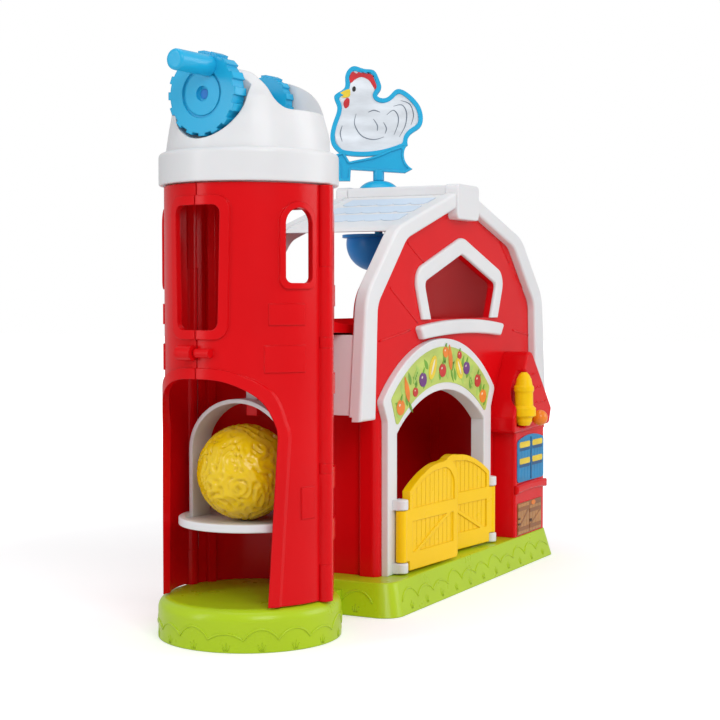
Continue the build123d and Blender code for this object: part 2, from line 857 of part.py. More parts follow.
def door_panel(side, hinge_x, free_x, y0, y1):
    """The planked field inside the leaf's rim, without its rails, brace and handle strip."""
    run = abs(free_x - hinge_x)
    start = 2 * bracket_radius + 1
    end = run - handle_strip
    rail_high_z = rail_low_z + rail_height
    kick_high_z = kick_rail_low_z + kick_rail_height
    field = along_y(door_face(side, hinge_x, free_x + side * door_rim, door_top_z - door_rim), y0, y1)
    field &= along_y(across_door(side, hinge_x, start, run, rail_high_z, door_top_z), y0, y1)
    lower = across_door(side, hinge_x, start, end, kick_high_z, rail_low_z)
    foot = hinge_x - side * (start + 1)
    head = hinge_x - side * (end - 1)
    wide = side * brace_width
    brace = closed_face([(foot, kick_high_z - 1), (foot - wide, kick_high_z - 1), (head, rail_low_z + 1),
                         (head + wide, rail_low_z + 1)])
    return field + along_y(lower, y0, y1) - along_y(brace, y0, y1)


def plank_lines(side, hinge_x, y0, y1):
    """Upright grooves between the planks, at an even pitch from the hinge."""
    count = math.floor((door_hinge_half - door_rim) / plank_pitch)
    lines = []
    for i in range(1, count):
        s = i * plank_pitch + bracket_radius
        strip = across_door(side, hinge_x, s, s + door_groove, base_height, door_top_z)
        lines.append(along_y(strip, y0, y1))
    return lines


def leaf_at_rest(leaf, side):
    """Turn a leaf about its pin to the angle at which it stands."""
    turn = left_door_rest if side < 0 else right_door_rest
    pin = Pos(arch_x + side * door_hinge_half, hinge_y, 0)
    return pin * Rot(0, 0, turn) * pin.inverse() * leaf


# ---- stable ----
def stable_body():
    """Red stable front that stands out from the wall, hollow behind."""
    outer = box(stable_left, stable_right, stable_front, wall_front, base_height, stable_top_z)
    outer = fillet(outer.edges().filter_by(Axis.Z).group_by(Axis.Y)[0], 2.0)
    inner = box(stable_left + stable_shell, stable_right - stable_shell, stable_front + stable_shell,
                wall_front, base_height, stable_top_z - stable_shell)
    return outer - inner + stable_awning()


def stable_roof_face():
    """Steep gable over the stable."""
    left = stable_left - stable_overhang
    right = stable_right + stable_overhang
    top = stable_eave_z + stable_eave_height
    low_right = stable_eave_z + stable_eave_tilt
    corners = [(left, stable_eave_z), (right - 5, low_right), (right, low_right + stable_eave_height),
               (stable_ridge_x, stable_ridge_z), (left, top)]
    face = closed_face(corners)
    ridge = face.vertices().sort_by(Axis.Y)[-1]
    face = fillet(ridge, 8)
    low = [v for v in face.vertices() if v.Y < low_right + stable_eave_height + 0.1]
    return fillet(low, 3.5)


def stable_roof():
    """Red roof block with a pocket for the corn roller and a hole for the button."""
    roof = along_y(stable_roof_face(), stable_roof_front, wall_front)
    roof = fillet(roof.faces().sort_by(Axis.Y)[0].edges(), soft_edge)
    roof += box(stable_left, stable_right, stable_front, wall_front,
                stable_top_z, stable_eave_z + stable_eave_tilt + 1)
    inner = box(stable_left + 4, stable_right - 4, stable_roof_front + 4, wall_front,
                stable_top_z + stable_eave_tilt + 4, stable_eave_z + stable_eave_height)
    roof -= inner
    room = corn_collar_radius + corn_pocket_gap
    roof -= upright(room, corn_low_z - corn_arm_gap, corn_low_z + corn_length + corn_arm_gap, corn_x, corn_y)
    hole = Pos(knob_x, 0, knob_z) * Rot(90, 0, 0) * Cylinder(knob_stem_radius + 0.3, 200)
    return roof - hole


def stable_awning():
    """Red ledge over the stable doors."""
    y0 = stable_front - awning_proud
    middle = (stable_left + stable_right) / 2
    left = stable_left - 0.5
    right = stable_right + 0.5
    low = ThreePointArc((left, awning_z), (middle, awning_z + awning_bow), (right, awning_z))
    high_z = awning_z + awning_height
    high = ThreePointArc((right, high_z), (middle, high_z + awning_bow), (left, high_z))
    face = make_face(Curve() + [low, Line(low @ 1, high @ 0), high, Line(high @ 1, low @ 0)])
    block = along_y(face, y0, stable_front)
    return fillet(block.faces().sort_by(Axis.Y)[0].edges(), soft_edge)


def stable_window():
    """Blue shutters in a shallow arch, as one flat plate."""
    x0 = stable_left + 4
    x1 = stable_right - 2.5
    low = 64.5
    high = 97
    left = Line((x0, low), (x0, high))
    top = ThreePointArc((x0, high), ((x0 + x1) / 2, high + 4), (x1, high))
    face = make_face(Curve() + [left, top, Line((x1, high), (x1, low)), Line((x1, low), (x0, low))])
    face = fillet(face.vertices(), 3)
    return along_y(face, stable_front - 0.6, stable_front)


def stable_doors():
    """Pair of brown half doors, as one flat plate."""
    x0 = stable_left + 5
    x1 = stable_right - 7
    return box(x0, x1, stable_front - 0.5, stable_front, base_height + 1, awning_z - 8)


def corn_roller():
    """Yellow corn cob that spins on an upright pin."""
    bore = pin_radius + pin_clearance
    body = corn_radius
    collar = corn_collar_radius
    steps = [
        (bore, 0), (4.6, 0), (body - 0.8, 2.8), (body - 0.4, 6), (collar, 7.5), (collar, 13.5),
        (body + 0.3, 15.5), (body, 25.5), (body + 0.8, 27), (body + 0.8, 30), (body - 0.4, 31.5),
        (5.8, 36), (3.8, 39.8), (1.9, corn_length), (bore, corn_length),
    ]
    cob = revolve(Plane.XZ * closed_face([(r, corn_low_z + rise) for r, rise in steps]), Axis.Z)
    return Pos(corn_x, corn_y, 0) * cob


def corn_pin():
    """Upright pin for the corn roller, held by an arm above and below."""
    z0 = corn_low_z - corn_arm - corn_arm_gap
    z1 = corn_low_z + corn_length + corn_arm + corn_arm_gap
    pin = upright(pin_radius, z0, z1, corn_x, corn_y)
    for a in (z0, z1 - corn_arm):
        pin += upright(pin_radius + 0.4, a, a + corn_arm, corn_x, corn_y)
        pin += box(corn_x - pin_radius, corn_x + pin_radius, corn_y, stable_roof_front, a, a + corn_arm)
    return pin


def knob():
    """Round orange button on a stem."""
    y_face = stable_roof_front - knob_reach
    ball = Pos(knob_x, y_face, knob_z) * Sphere(knob_radius)
    stem = Pos(knob_x, (y_face + stable_roof_front + 9) / 2, knob_z) * Rot(90, 0, 0) * Cylinder(
        knob_stem_radius, abs(stable_roof_front + 9 - y_face))
    return ball + stem


# ---- sound unit ----
def circuit_board():
    """Board behind the button, with its switch and chip."""
    x0 = stable_left + stable_shell + 2
    x1 = stable_right - stable_shell - 2
    z0 = stable_top_z - stable_shell - board_height - 1
    z1 = z0 + board_height
    y1 = wall_front - 2
    board = box(x0, x1, y1 - board_thickness, y1, z0, z1)
    chip_y = y1 - board_thickness
    board += box(x0 + 6, x0 + 16, chip_y - 2, chip_y, z0 + 4, z0 + 12)
    return board + box(x1 - 14, x1 - 8, chip_y - 4, chip_y, z0 + 5, z0 + 11)


def speaker():
    """Small round loudspeaker behind the stable's front."""
    x = (stable_left + stable_right) / 2
    z = speaker_z
    y0 = stable_front + stable_shell + 0.3
    seat = Pos(x, 0, z) * Rot(90, 0, 0)
    cone = seat * Pos(0, 0, -(y0 + 1.5)) * Cylinder(speaker_radius, 3)
    magnet = seat * Pos(0, 0, -(y0 + 5)) * Cylinder(speaker_radius * 0.55, 4)
    return cone + magnet


def battery_box():
    """Tray for three cells under the deck of the barn base."""
    x0 = battery_x - battery_length / 2 - 4
    x1 = battery_x + battery_length / 2 + 4
    half = 1.5 * battery_pitch + 1.5
    z0 = cover_thickness + 0.2
    z1 = base_height - base_deck
    tray = box(x0, x1, -half, half, z0, z1)
    room = box(x0 + 1.5, x1 - 1.5, -half + 1.5, half - 1.5, z0, z1 - 2)
    return tray - room


def batteries():
    """Three round cells side by side."""
    z = base_height - base_deck - 2 - battery_radius - 0.4
    cells = []
    for i in (-1, 0, 1):
        x0 = battery_x - battery_length / 2
        cell = lying(battery_radius, x0, x0 + battery_length - 1, i * battery_pitch, z)
        x1 = x0 + battery_length
        tip = lying(battery_radius * 0.38, x1 - 1, x1, i * battery_pitch, z)
        cells.append(cell + tip)
    return Compound(children=cells)


# ---- silo ----
def mouth_face(extra_top, extra_side):
    """Front opening of the silo, drawn as (y, z)."""
    side = mouth_side_half + extra_side
    top = mouth_top_z + extra_top
    drop = mouth_side_z
    low = mouth_bottom_half + extra_side * 1.2
    points = [(0, top), (0.435 * side, top - 1.6), (0.69 * side, top - 6.5),
              (0.87 * side, top - 14), (0.98 * side, drop + 9), (side, drop)]
    right = Spline(*points, tangents=[(1, 0), (0, -1)])
    left = Spline(*[(-y, z) for y, z in points], tangents=[(-1, 0), (0, -1)])
    legs = [Line((side, drop), (low, 0)), Line((low, 0), (-low, 0)), Line((-low, 0), (-side, drop))]
    return make_face(Curve() + [right, *legs, left])


def front_window_face(extra):
    """Tall front window with rounded corners, narrower at its foot."""
    corners = [
        (-front_window_low_half - extra, front_window_low_z - extra),
        (front_window_low_half + extra, front_window_low_z - extra),
        (front_window_half + extra, front_window_high_z + extra),
        (-front_window_half - extra, front_window_high_z + extra),
    ]
    face = closed_face(corners)
    return fillet(face.vertices(), 5 + extra * 0.6)


def side_window_face(extra):
    """Side window with a round top."""
    half = side_window_half + extra
    low = side_window_low_z - extra
    spring = side_window_high_z - side_window_half
    left = Line((-half, low), (-half, spring))
    top = ThreePointArc((-half, spring), (0, spring + half), (half, spring))
    right = Line((half, spring), (half, low))
    face = make_face(Curve() + [left, top, right, Line((half, low), (-half, low))])
    low_corners = face.vertices().group_by(Axis.Y)[0]
    return fillet(low_corners, 4 + extra * 0.5)


def toward(angle, face, reach=80.0):
    """Extrude a (sideways, z) face outwards from the silo axis in one direction."""
    direction = Vector(math.cos(math.radians(angle)), math.sin(math.radians(angle)), 0)
    sideways = Vector(-direction.Y, direction.X, 0)
    plane = Plane(origin=(0, 0, 0), x_dir=sideways, z_dir=direction)
    return extrude(plane * face, reach)


def brick(angle_a, angle_b, z0, z1):
    """A shallow raised brick on the silo wall."""
    pad = sector(silo_radius - 0.4, silo_radius + brick_proud, angle_a, angle_b, z0, z1)
    radial = [e for e in pad.edges() if abs(e.center().Z - z0) > 0.1 and abs(e.center().Z - z1) > 0.1]
    return fillet([e for e in radial if e.center().length > 0 and
                   math.hypot(e.center().X, e.center().Y) > silo_radius], 0.6) if radial else pad


def hinge_point(side):
    """Axis of a silo hinge in the silo's own frame."""
    angle = math.radians(180 + side * hinge_angle)
    return hinge_pitch_radius * math.cos(angle), hinge_pitch_radius * math.sin(angle)


def hinge_pipe(side, radius, z0, z1):
    """Round hinge column between two heights."""
    x, y = hinge_point(side)
    return upright(radius, z0, z1, x, y)


def knuckle_spans(owner):
    """Heights of the knuckles: the leaf has three long ones and the shell the rest."""
    a, b, c, d, e, f = knuckle_levels
    if owner == "leaf":
        return [(a, b), (c, d), (e, f)]
    return [(silo_floor_z, a), (b, c), (d, e), (f, silo_top_z)]


def silo_back_shell():
    """Red rear half of the silo, with the ball's way out and the fixed hinge knuckles."""
    half = 180 - hinge_angle
    r_in = silo_inner_radius
    shell = sector(r_in, silo_radius, -half, half, silo_floor_z, silo_top_z)
    ball_door = toward(0, back_opening_outline(0))
    frame = sector(r_in, silo_radius + frame_proud, -half + 12, half - 12, silo_floor_z, silo_top_z)
    frame &= toward(0, back_opening_outline(4))
    for side in (-1, 1):
        for z0, z1 in knuckle_spans("leaf"):
            shell -= hinge_pipe(side, pipe_radius + pipe_clearance, z0 - knuckle_gap, z1 + knuckle_gap)
        for z0, z1 in knuckle_spans("shell"):
            shell += hinge_pipe(side, pipe_radius, z0, z1)
        for low in (60.0, 92.0, 150.0, 204.0):
            start = side * 52
            shell += brick(min(start, start + 22 * side), max(start, start + 22 * side), low, low + 13)
    shell = shell + frame - ball_door
    for side in (-1, 1):
        shell -= hinge_pipe(side, silo_pin_radius, silo_floor_z + 3, silo_top_z - 2)
    return silo_place * shell


def back_opening_outline(extra):
    """Opening towards the barn, drawn as (sideways, z)."""
    half = back_opening_half + extra
    low = back_opening_low_z - extra
    high = back_opening_high_z + extra
    face = closed_face([(-half, low), (half, low), (half, high), (-half, high)])
    return fillet(face.vertices(), 10 + extra * 0.5)


def silo_leaf(side):
    """Curved red silo door. Side +1 is the leaf on the front side of the toy."""
    start = 180 + side * math.degrees(seam_gap / 2 / silo_radius)
    end = 180 + side * hinge_angle
    low, high = min(start, end), max(start, end)
    z0 = silo_leaf_low_z
    z1 = silo_top_z
    leaf = sector(silo_inner_radius, silo_radius, low, high, z0, z1)
    raised = sector(silo_inner_radius + 0.4, silo_radius + frame_proud, low, high, z0, z1)
    frames = raised & toward(180, mouth_face(mouth_frame_width, mouth_frame_side))
    frames += raised & toward(180, front_window_face(front_window_frame))
    window_at = 180 + side * side_window_angle
    frames += raised & toward(window_at, side_window_face(side_window_frame))
    leaf += frames
    for low_z, high_z, a, b in ((193.0, 205.5, 49, 76), (165.0, 181.0, 46, 76), (77.0, 96.0, 72, 84)):
        leaf += brick(180 + side * a if side > 0 else 180 - b, 180 + side * b if side > 0 else 180 - a,
                      low_z, high_z)
    leaf -= toward(180, mouth_face(0, 0))
    leaf -= toward(180, front_window_face(0))
    leaf -= toward(window_at, side_window_face(0))
    for a, b in knuckle_spans("shell"):
        leaf -= hinge_pipe(side, pipe_radius + pipe_clearance, a - knuckle_gap, b + knuckle_gap)
    for a, b in knuckle_spans("leaf"):
        leaf += hinge_pipe(side, pipe_radius, a, b)
    leaf -= hinge_pipe(side, silo_pin_radius + pin_clearance, silo_floor_z, silo_top_z + 1)
    bar = latch_pin() if side > 0 else latch_socket()
    leaf += bar - upright(silo_radius - 0.5, 0, 400)
    return silo_place * leaf


def silo_hinge_pins():
    """One long rod through each silo hinge."""
    low = silo_floor_z + 3
    high = silo_top_z - 2
    rods = [silo_place * hinge_pipe(side, silo_pin_radius, low, high) for side in (-1, 1)]
    return Compound(children=rods)


def latch_bar(radius, sink, side):
    """Round bar across the front of the silo that ends at the seam."""
    y = side * (seam_gap / 2 + latch_length / 2)
    return Pos(-silo_radius - radius + sink, y, latch_z) * Rot(90, 0, 0) * Cylinder(radius, latch_length)


def latch_socket():
    """Barrel that the latch pin meets."""
    return latch_bar(latch_socket_radius, 1.6, latch_socket_side)


def latch_pin():
    """Slimmer latch pin on the other leaf."""
    return latch_bar(latch_pin_radius, 1.2, -latch_socket_side)


def lift_guide_rails():
    """Two upright ribs inside the back shell that steady the lift car."""
    rails = []
    for side in (-1, 1):
        spread = math.degrees(rail_width / silo_inner_radius)
        a = side * rail_angle - spread / 2
        rail = sector(silo_inner_radius - rail_depth, silo_inner_radius, a, a + spread,
                      silo_floor_z, silo_top_z - 4)
        rails.append(silo_place * rail)
    return Compound(children=rails)


# ---- silo cap ----
def dome(inset, low_z):
    """The cap's dome, which leans a little to the front, drawn in by an inset."""
    height = cap_dome_height - inset
    rings = [Pos(0, 0, low_z) * Circle(cap_dome_radius - inset)] if low_z < cap_rim_high_z else []
    for rise, width, lean in dome_shares:
        place = Pos(-lean * cap_dome_lean, 0, cap_rim_high_z + rise * height)
        rings.append(place * Circle(width * cap_dome_radius - inset))
    return loft(rings)


def silo_cap():
    """White cap: a rim, a hollow dome, a pocket for the crank wheel and a valley for the hoist wheel."""
    rim = upright(cap_rim_radius, cap_rim_low_z, cap_rim_high_z)
    rim = fillet(rim.edges().group_by(Axis.Z)[-1], 3.0)
    rim = fillet(rim.edges().group_by(Axis.Z)[0], 1.0)
    rim_room_z = cap_rim_high_z - cap_wall - 1
    pocket_radius = crank_radius + crank_tooth + crank_pocket_gap
    room = dome(cap_wall, rim_room_z)
    room -= lying(pocket_radius + cap_wall, -90, pocket_wall_x + cap_wall, 0, axle_z)
    room -= valley(cap_wall)
    solid = rim + dome(0, cap_rim_high_z)
    solid -= upright(cap_rim_radius - cap_wall, cap_rim_low_z, rim_room_z)
    solid -= room
    solid -= lying(pocket_radius, -90, pocket_wall_x, 0, axle_z)
    solid -= valley(0)
    slot_end = hoist_wheel_face_x + hoist_wheel_thickness + hoist_wheel_gap
    solid -= box(-drum_slot_half, drum_slot_half, -drum_slot_half, drum_slot_half, cap_rim_high_z, axle_z)
    solid -= lying(hoist_wheel_radius + 2.5, hoist_wheel_face_x - hoist_wheel_gap, slot_end, 0, axle_z)
    solid -= lying(axle_radius + pin_clearance, pocket_wall_x - 1, valley_back_x + 6, 0, axle_z)
    return silo_place * solid


def valley(wall):
    """Scoop across the dome for the hoist wheel, or its outside when a wall is given."""
    far = 70.0
    front = valley_front_x - wall
    back = valley_back_x + wall
    floor = valley_floor_z - wall
    profile = closed_face([(front, floor), (back, floor), (back, 420), (front, 420)])
    low_front = profile.vertices().group_by(Axis.Y)[0].sort_by(Axis.X)[0]
    return along_y(fillet(low_front, valley_round + wall), -far, far)


def hoist_bearer():
    """Hidden white floor of the cap, which seats on the back shell."""
    z0 = silo_top_z
    plate = upright(cap_rim_radius - cap_wall - 0.2, z0 + 0.8, z0 + 0.8 + bearer_thickness)
    reach = 180 - hinge_angle - 8
    plate += sector(silo_inner_radius + 0.3, silo_radius - 0.3, -reach, reach, z0, z0 + 0.8)
    cord_hole = upright(2.2, z0, z0 + 10, cord_x(), cord_y())
    return silo_place * (plate - cord_hole)


# ---- crank and hoist ----
def toothed_disc(radius, tooth, count, x0, x1):
    """A wheel with low square teeth on its rim."""
    disc = lying(radius, x0, x1, 0, axle_z)
    wide = math.pi * radius / count
    for i in range(count):
        angle = 360.0 * i / count
        block = Pos((x0 + x1) / 2, 0, radius + tooth / 2 - 0.6) * Box(x1 - x0, wide, tooth + 1.2)
        disc += Pos(0, 0, axle_z) * Rot(angle, 0, 0) * block
    return disc


def crank_wheel():
    """Blue crank wheel with a recessed ring in its face and a hub hole."""
    x0 = crank_face_x
    x1 = x0 + crank_thickness
    wheel = toothed_disc(crank_radius, crank_tooth, crank_teeth, x0, x1)
    groove = lying(crank_ring_radius, x0, x0 + 1.4, 0, axle_z)
    wheel -= groove - lying(crank_ring_radius - 1.6, x0, x0 + 1.4, 0, axle_z)
    wheel -= lying(crank_ring_radius - 1.6, x0, x0 + 0.7, 0, axle_z)
    wheel += lying(8.0, x1, pocket_wall_x - 0.6, 0, axle_z)
    wheel -= lying(axle_radius, x0 + 3, 20, 0, axle_z)
    return silo_place * (wheel - lying(hub_hole_radius, x0, x0 + 3, 0, axle_z))


def handle_place():
    """Where the handle stands on the wheel's face, as (y, z)."""
    angle = math.radians(handle_angle)
    return -handle_pitch_radius * math.sin(angle), axle_z + handle_pitch_radius * math.cos(angle)


def crank_handle():
    """Blue handle peg with a rounded end."""
    y, z = handle_place()
    x1 = crank_face_x
    peg = lying(handle_radius, x1 - handle_length, x1, y, z)
    peg = fillet(peg.edges().sort_by(Axis.X)[0], 2.0)
    return silo_place * peg


def crank_axle():
    """Round axle through the cap."""
    x0 = crank_face_x + 3
    x1 = valley_back_x + 4
    return silo_place * lying(axle_radius, x0, x1, 0, axle_z)


def hoist_wheel():
    """Smaller toothed wheel in the valley."""
    x0 = hoist_wheel_face_x
    x1 = x0 + hoist_wheel_thickness
    wheel = toothed_disc(hoist_wheel_radius, 1.2, 14, x0, x1)
    return silo_place * (wheel - lying(axle_radius, x0 - 1, x1 + 1, 0, axle_z))


def hoist_drum():
    """Spool that winds the hoist cord."""
    x0 = -drum_length / 2
    x1 = drum_length / 2
    drum = lying(drum_radius, x0, x1, 0, axle_z)
    drum += lying(drum_flange_radius, x0 - 1.5, x0, 0, axle_z)
    drum += lying(drum_flange_radius, x1, x1 + 1.5, 0, axle_z)
    return silo_place * (drum - lying(axle_radius, -20, 20, 0, axle_z))


def cord_x():
    """Sideways place of the hanging cord along the axle."""
    return 0.0


def cord_y():
    """The cord leaves the drum on the front side."""
    return -(drum_radius + cord_radius)


def hoist_cord():
    """Cord from the drum straight down to the tab on the bail."""
    low = bail_top_z + tab_height
    return silo_place * upright(cord_radius, low, axle_z, cord_x(), cord_y())


# ---- lift car ----
def lift_car():
    """White round platform with a low rim."""
    z = car_floor_z
    plate = upright(car_radius, z, z + car_rim_height)
    plate = fillet(plate.edges(), 0.8)
    plate -= upright(car_radius - car_rim_width, z + car_floor_thickness, z + 20)
    return silo_place * plate


def bail_face(inset):
    """Outline of the bail, drawn as (y, z)."""
    half = bail_half - inset
    top = bail_top_z - inset
    left = Line((-half, car_top_z()), (-half, bail_spring_z))
    arc = EllipticalCenterArc((0, bail_spring_z), half, top - bail_spring_z, arc_size=180)
    right = Line((half, bail_spring_z), (half, car_top_z()))
    return make_face(Curve() + [left, arc, right, Line((half, car_top_z()), (-half, car_top_z()))])


def car_top_z():
    """Upper face of the platform's floor."""
    return car_floor_z + car_floor_thickness


def lift_bail():
    """White hoop over the platform, with the tab that the cord holds."""
    x0 = bail_front_x
    x1 = bail_front_x + bail_depth
    hoop = along_x(bail_face(0) - bail_face(bail_thickness), x0, x1)
    y = cord_y()
    tab = box(-tab_width / 2, tab_width / 2, y - 2, y + 6, bail_top_z - 2.2, bail_top_z + tab_height)
    inner = along_x(bail_face(bail_thickness), x0 - 5, x1 + 5)
    return silo_place * (hoop + (tab - inner))


def cord_clip():
    """Small red clip under the bail that stops the cord."""
    y = cord_y() + 2
    block = box(-3, 3, y - 3, y + 5, bail_top_z - bail_thickness - 8, bail_top_z - bail_thickness + 1)
    return silo_place * (block - along_x(bail_outside(), -40, 40))


def bail_outside():
    """Everything above the bail's inner surface."""
    frame = closed_face([(-60, 60), (60, 60), (60, 260), (-60, 260)])
    return frame - bail_face(bail_thickness)


def hay_ball():
    """Hollow yellow ball."""
    centre = Pos(ball_offset_x, 0, car_top_z() + ball_lift_gap + ball_radius)
    return silo_place * centre * (Sphere(ball_radius) - Sphere(ball_radius - ball_wall))


# ---- weathervane ----
vane_place = Pos(barn_x, vane_y, 0) * Rot(0, 0, vane_view_angle)


def vane_boss():
    """Blue dome on the ridge that the vane turns in."""
    z = ridge_cap_top_z
    arc = ThreePointArc((vane_boss_radius, z), (vane_boss_radius * 0.72, z + vane_boss_height * 0.66),
                        (vane_post_radius + 1, z + vane_boss_height))
    shape = make_face(Curve() + [arc, Line(arc @ 1, (0, z + vane_boss_height)),
                                 Line((0, z + vane_boss_height), (0, z)), Line((0, z), arc @ 0)])
    boss = revolve(Plane.XZ * shape, Axis.Z)
    return Pos(barn_x, vane_y, 0) * boss - vane_bore()


def vane_shaft():
    """Blue shaft from the bowl through the ridge to the arrow."""
    low = bowl_rim_z - 1
    post_low = ridge_cap_top_z + vane_boss_height + 0.4
    shaft = upright(vane_shaft_radius, low, post_low)
    post = upright(vane_post_radius, post_low, vane_arrow_low_z)
    return vane_place * (shaft + post)


def slab(face, thickness, middle=0.0):
    """Extrude a (sideways, z) face equally to both sides."""
    return along_y(face, middle - thickness / 2, middle + thickness / 2)


def inset_outline(face, distance, count):
    """Outline drawn in by a distance and redrawn as one smooth closed curve."""
    wire = offset(face, -distance).faces()[0].outer_wire()
    points = [wire @ (i / count) for i in range(count)]
    return make_face(Spline(*points, periodic=True))


def arrow_face():
    """Arrow under the hen: a blunt tail with a leg, and a wide flared head."""
    curve = Spline((-22, 312), (-2, 316.5), (21, 323.8), tangents=[(1, 0.25), (1, 0.05)])
    head = ThreePointArc((21, 323.8), (19.5, 314), (25.5, 306.5))
    foot = Line((25.5, 306.5), (20, vane_arrow_low_z - 2.5))
    low = Line((20, vane_arrow_low_z - 2.5), (-21, vane_arrow_low_z))
    leg = Polyline((-21, vane_arrow_low_z), (-21.5, 297.5), (-30, 297.5), (-30.5, 309), (-36, 316),
                   (-26.5, 319.5), (-22, 312))
    return make_face(Curve() + [curve, head, foot, low, leg])


def vane_arrow():
    """Blue arrow, recessed on both faces inside a rim."""
    face = arrow_face()
    body = slab(face, vane_thickness)
    inner = inset_outline(face, arrow_rim, 60)
    room = upright(vane_post_radius, 200, vane_arrow_low_z)
    for side in (-1, 1):
        body -= slab(inner, 2 * hen_recess, side * vane_thickness / 2)
    return vane_shaft() + vane_place * (body - room)


def hen_outline():
    """Outline of the hen plate: breast, head with comb, neck, tail and rump."""
    points = [
        (-28, 317.5), (-36.5, 331), (-33, 345), (-31.5, 354), (-33.5, 361), (-26, 367), (-25.2, 376),
        (-19, 383.5), (-11, 381.5), (-4, 380.5), (0.5, 373), (1.5, 366), (-1, 361.5), (4, 359.5),
        (13, 366), (26, 360), (33, 348), (31.5, 338), (26, 334), (22, 324.2),
    ]
    curve = Spline(*points)
    low = ThreePointArc((22, 324.2), (-2, 316.7), (-28, 317.5))
    return make_face(Curve() + [curve, low])


def hen_plate():
    """Blue hen plate with a raised rim on both faces."""
    face = hen_outline()
    body = slab(face, vane_thickness)
    inner = inset_outline(face, hen_rim, 90)
    for side in (-1, 1):
        body -= slab(inner, 2 * hen_recess, side * vane_thickness / 2)
    body -= slab(arrow_face(), vane_thickness + 2)
    return vane_place * body


def hen_faces():
    """White printed faces in the two recesses."""
    inner = inset_outline(hen_outline(), hen_rim + 0.1, 90)
    sheets = []
    for side in (-1, 1):
        middle = side * (vane_thickness / 2 - hen_recess + 0.25)
        sheets.append(vane_place * (slab(inner, 0.5, middle) - slab(arrow_face(), vane_thickness + 2)))
    return Compound(children=sheets)


def vane_bowl():
    """Blue bowl that turns under the roof with the vane."""
    rim_low = bowl_rim_z - 2.2
    arc = ThreePointArc((0, bowl_low_z), (bowl_radius * 0.78, bowl_low_z + 6), (bowl_radius, rim_low))
    edge = Curve() + [
        Line((0, bowl_rim_z), (0, bowl_low_z)), arc,
        Line((bowl_radius, rim_low), (bowl_rim_radius, rim_low)),
        Line((bowl_rim_radius, rim_low), (bowl_rim_radius, bowl_rim_z)),
        Line((bowl_rim_radius, bowl_rim_z), (0, bowl_rim_z)),
    ]
    bowl = revolve(Plane.XZ * make_face(edge), Axis.Z)
    hollow = upright(bowl_radius - 8, bowl_low_z + 8, bowl_rim_z) - upright(6, 0, bowl_rim_z)
    socket = upright(vane_shaft_radius, bowl_rim_z - 1, bowl_rim_z + 5)
    return Pos(barn_x, vane_y, 0) * (bowl - hollow - socket)


# ---- write every sub-part ----
save("barn_base", barn_base())
save("barn_base_cover", barn_base_cover())
save("base_screws", base_screws())
save("silo_base", silo_base())
save("silo_base_cover", silo_base_cover())
save("base_bridge", base_bridge())
save("front_wall", front_wall())
save("back_wall", back_wall())
save("left_wall", side_wall_panel(-1))
save("right_wall", side_wall_panel(1))
save("loft_floor", loft_floor())
save("loft_backboard", loft_backboard())
save("chute", chute())
save("ground_ramp", ground_ramp())
save("gable_trim_front", gable_trim(wall_front - trim_face, 1))
save("gable_trim_rear", gable_trim(wall_back + trim_face, -1))
save("roof_top", roof_top() - vane_bore())
save("roof_left", roof_left_panel())
save("roof_right", roof_right_panel())
save("ridge_cap", ridge_cap())
save("loft_window_frame", loft_window_frame())
save("loft_sill", loft_sill())
save("door_arch", door_arch())
save("arch_label", arch_label())
save("door_hinge_pins", door_hinge_pins())
save("barn_door_left", leaf_at_rest(barn_door(-1), -1))
save("barn_door_right", leaf_at_rest(barn_door(1), 1))
save("stable_body", stable_body())
save("stable_roof", stable_roof())
save("stable_window", stable_window())
save("stable_doors", stable_doors())
save("corn_roller", corn_roller())
save("corn_pin", corn_pin())
save("knob", knob())
save("circuit_board", circuit_board())
save("speaker", speaker())
save("battery_box", battery_box())
save("batteries", batteries())
save("silo_back_shell", silo_back_shell())
save("silo_door_left", silo_leaf(-1))
save("silo_door_right", silo_leaf(1))
save("silo_hinge_pins", silo_hinge_pins())
save("lift_guide_rails", lift_guide_rails())
save("silo_cap", silo_cap())
save("hoist_bearer", hoist_bearer())
save("crank_wheel", crank_wheel())
save("crank_handle", crank_handle())
save("crank_axle", crank_axle())
save("hoist_wheel", hoist_wheel())
save("hoist_drum", hoist_drum())
save("hoist_cord", hoist_cord())
save("lift_car", lift_car())
save("lift_bail", lift_bail())
save("cord_clip", cord_clip())
save("hay_ball", hay_ball())
save("vane_boss", vane_boss())
save("vane_arrow", vane_arrow())
save("hen_plate", hen_plate())
save("hen_faces", hen_faces())
save("vane_bowl", vane_bowl())
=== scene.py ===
import math

import bmesh
import bpy
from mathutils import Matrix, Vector, noise


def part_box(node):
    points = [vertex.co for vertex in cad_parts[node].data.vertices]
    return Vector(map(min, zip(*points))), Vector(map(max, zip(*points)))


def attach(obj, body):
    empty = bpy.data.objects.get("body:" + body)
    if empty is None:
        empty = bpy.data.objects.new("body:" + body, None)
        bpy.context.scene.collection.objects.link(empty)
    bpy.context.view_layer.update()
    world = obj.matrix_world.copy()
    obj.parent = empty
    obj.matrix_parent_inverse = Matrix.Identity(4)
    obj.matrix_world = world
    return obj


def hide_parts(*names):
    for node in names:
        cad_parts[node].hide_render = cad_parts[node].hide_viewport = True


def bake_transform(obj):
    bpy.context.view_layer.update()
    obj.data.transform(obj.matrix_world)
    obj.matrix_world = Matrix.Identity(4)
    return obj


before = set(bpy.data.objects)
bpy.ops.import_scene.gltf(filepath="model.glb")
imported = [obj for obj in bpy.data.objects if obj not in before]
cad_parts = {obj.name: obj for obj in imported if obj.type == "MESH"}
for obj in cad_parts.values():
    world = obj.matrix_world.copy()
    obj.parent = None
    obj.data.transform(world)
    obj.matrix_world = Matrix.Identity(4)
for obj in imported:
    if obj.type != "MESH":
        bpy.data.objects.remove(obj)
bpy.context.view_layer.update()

# Places and sizes of pieces are in millimetres, as in the solids; MM turns them into metres.
MM = 0.001
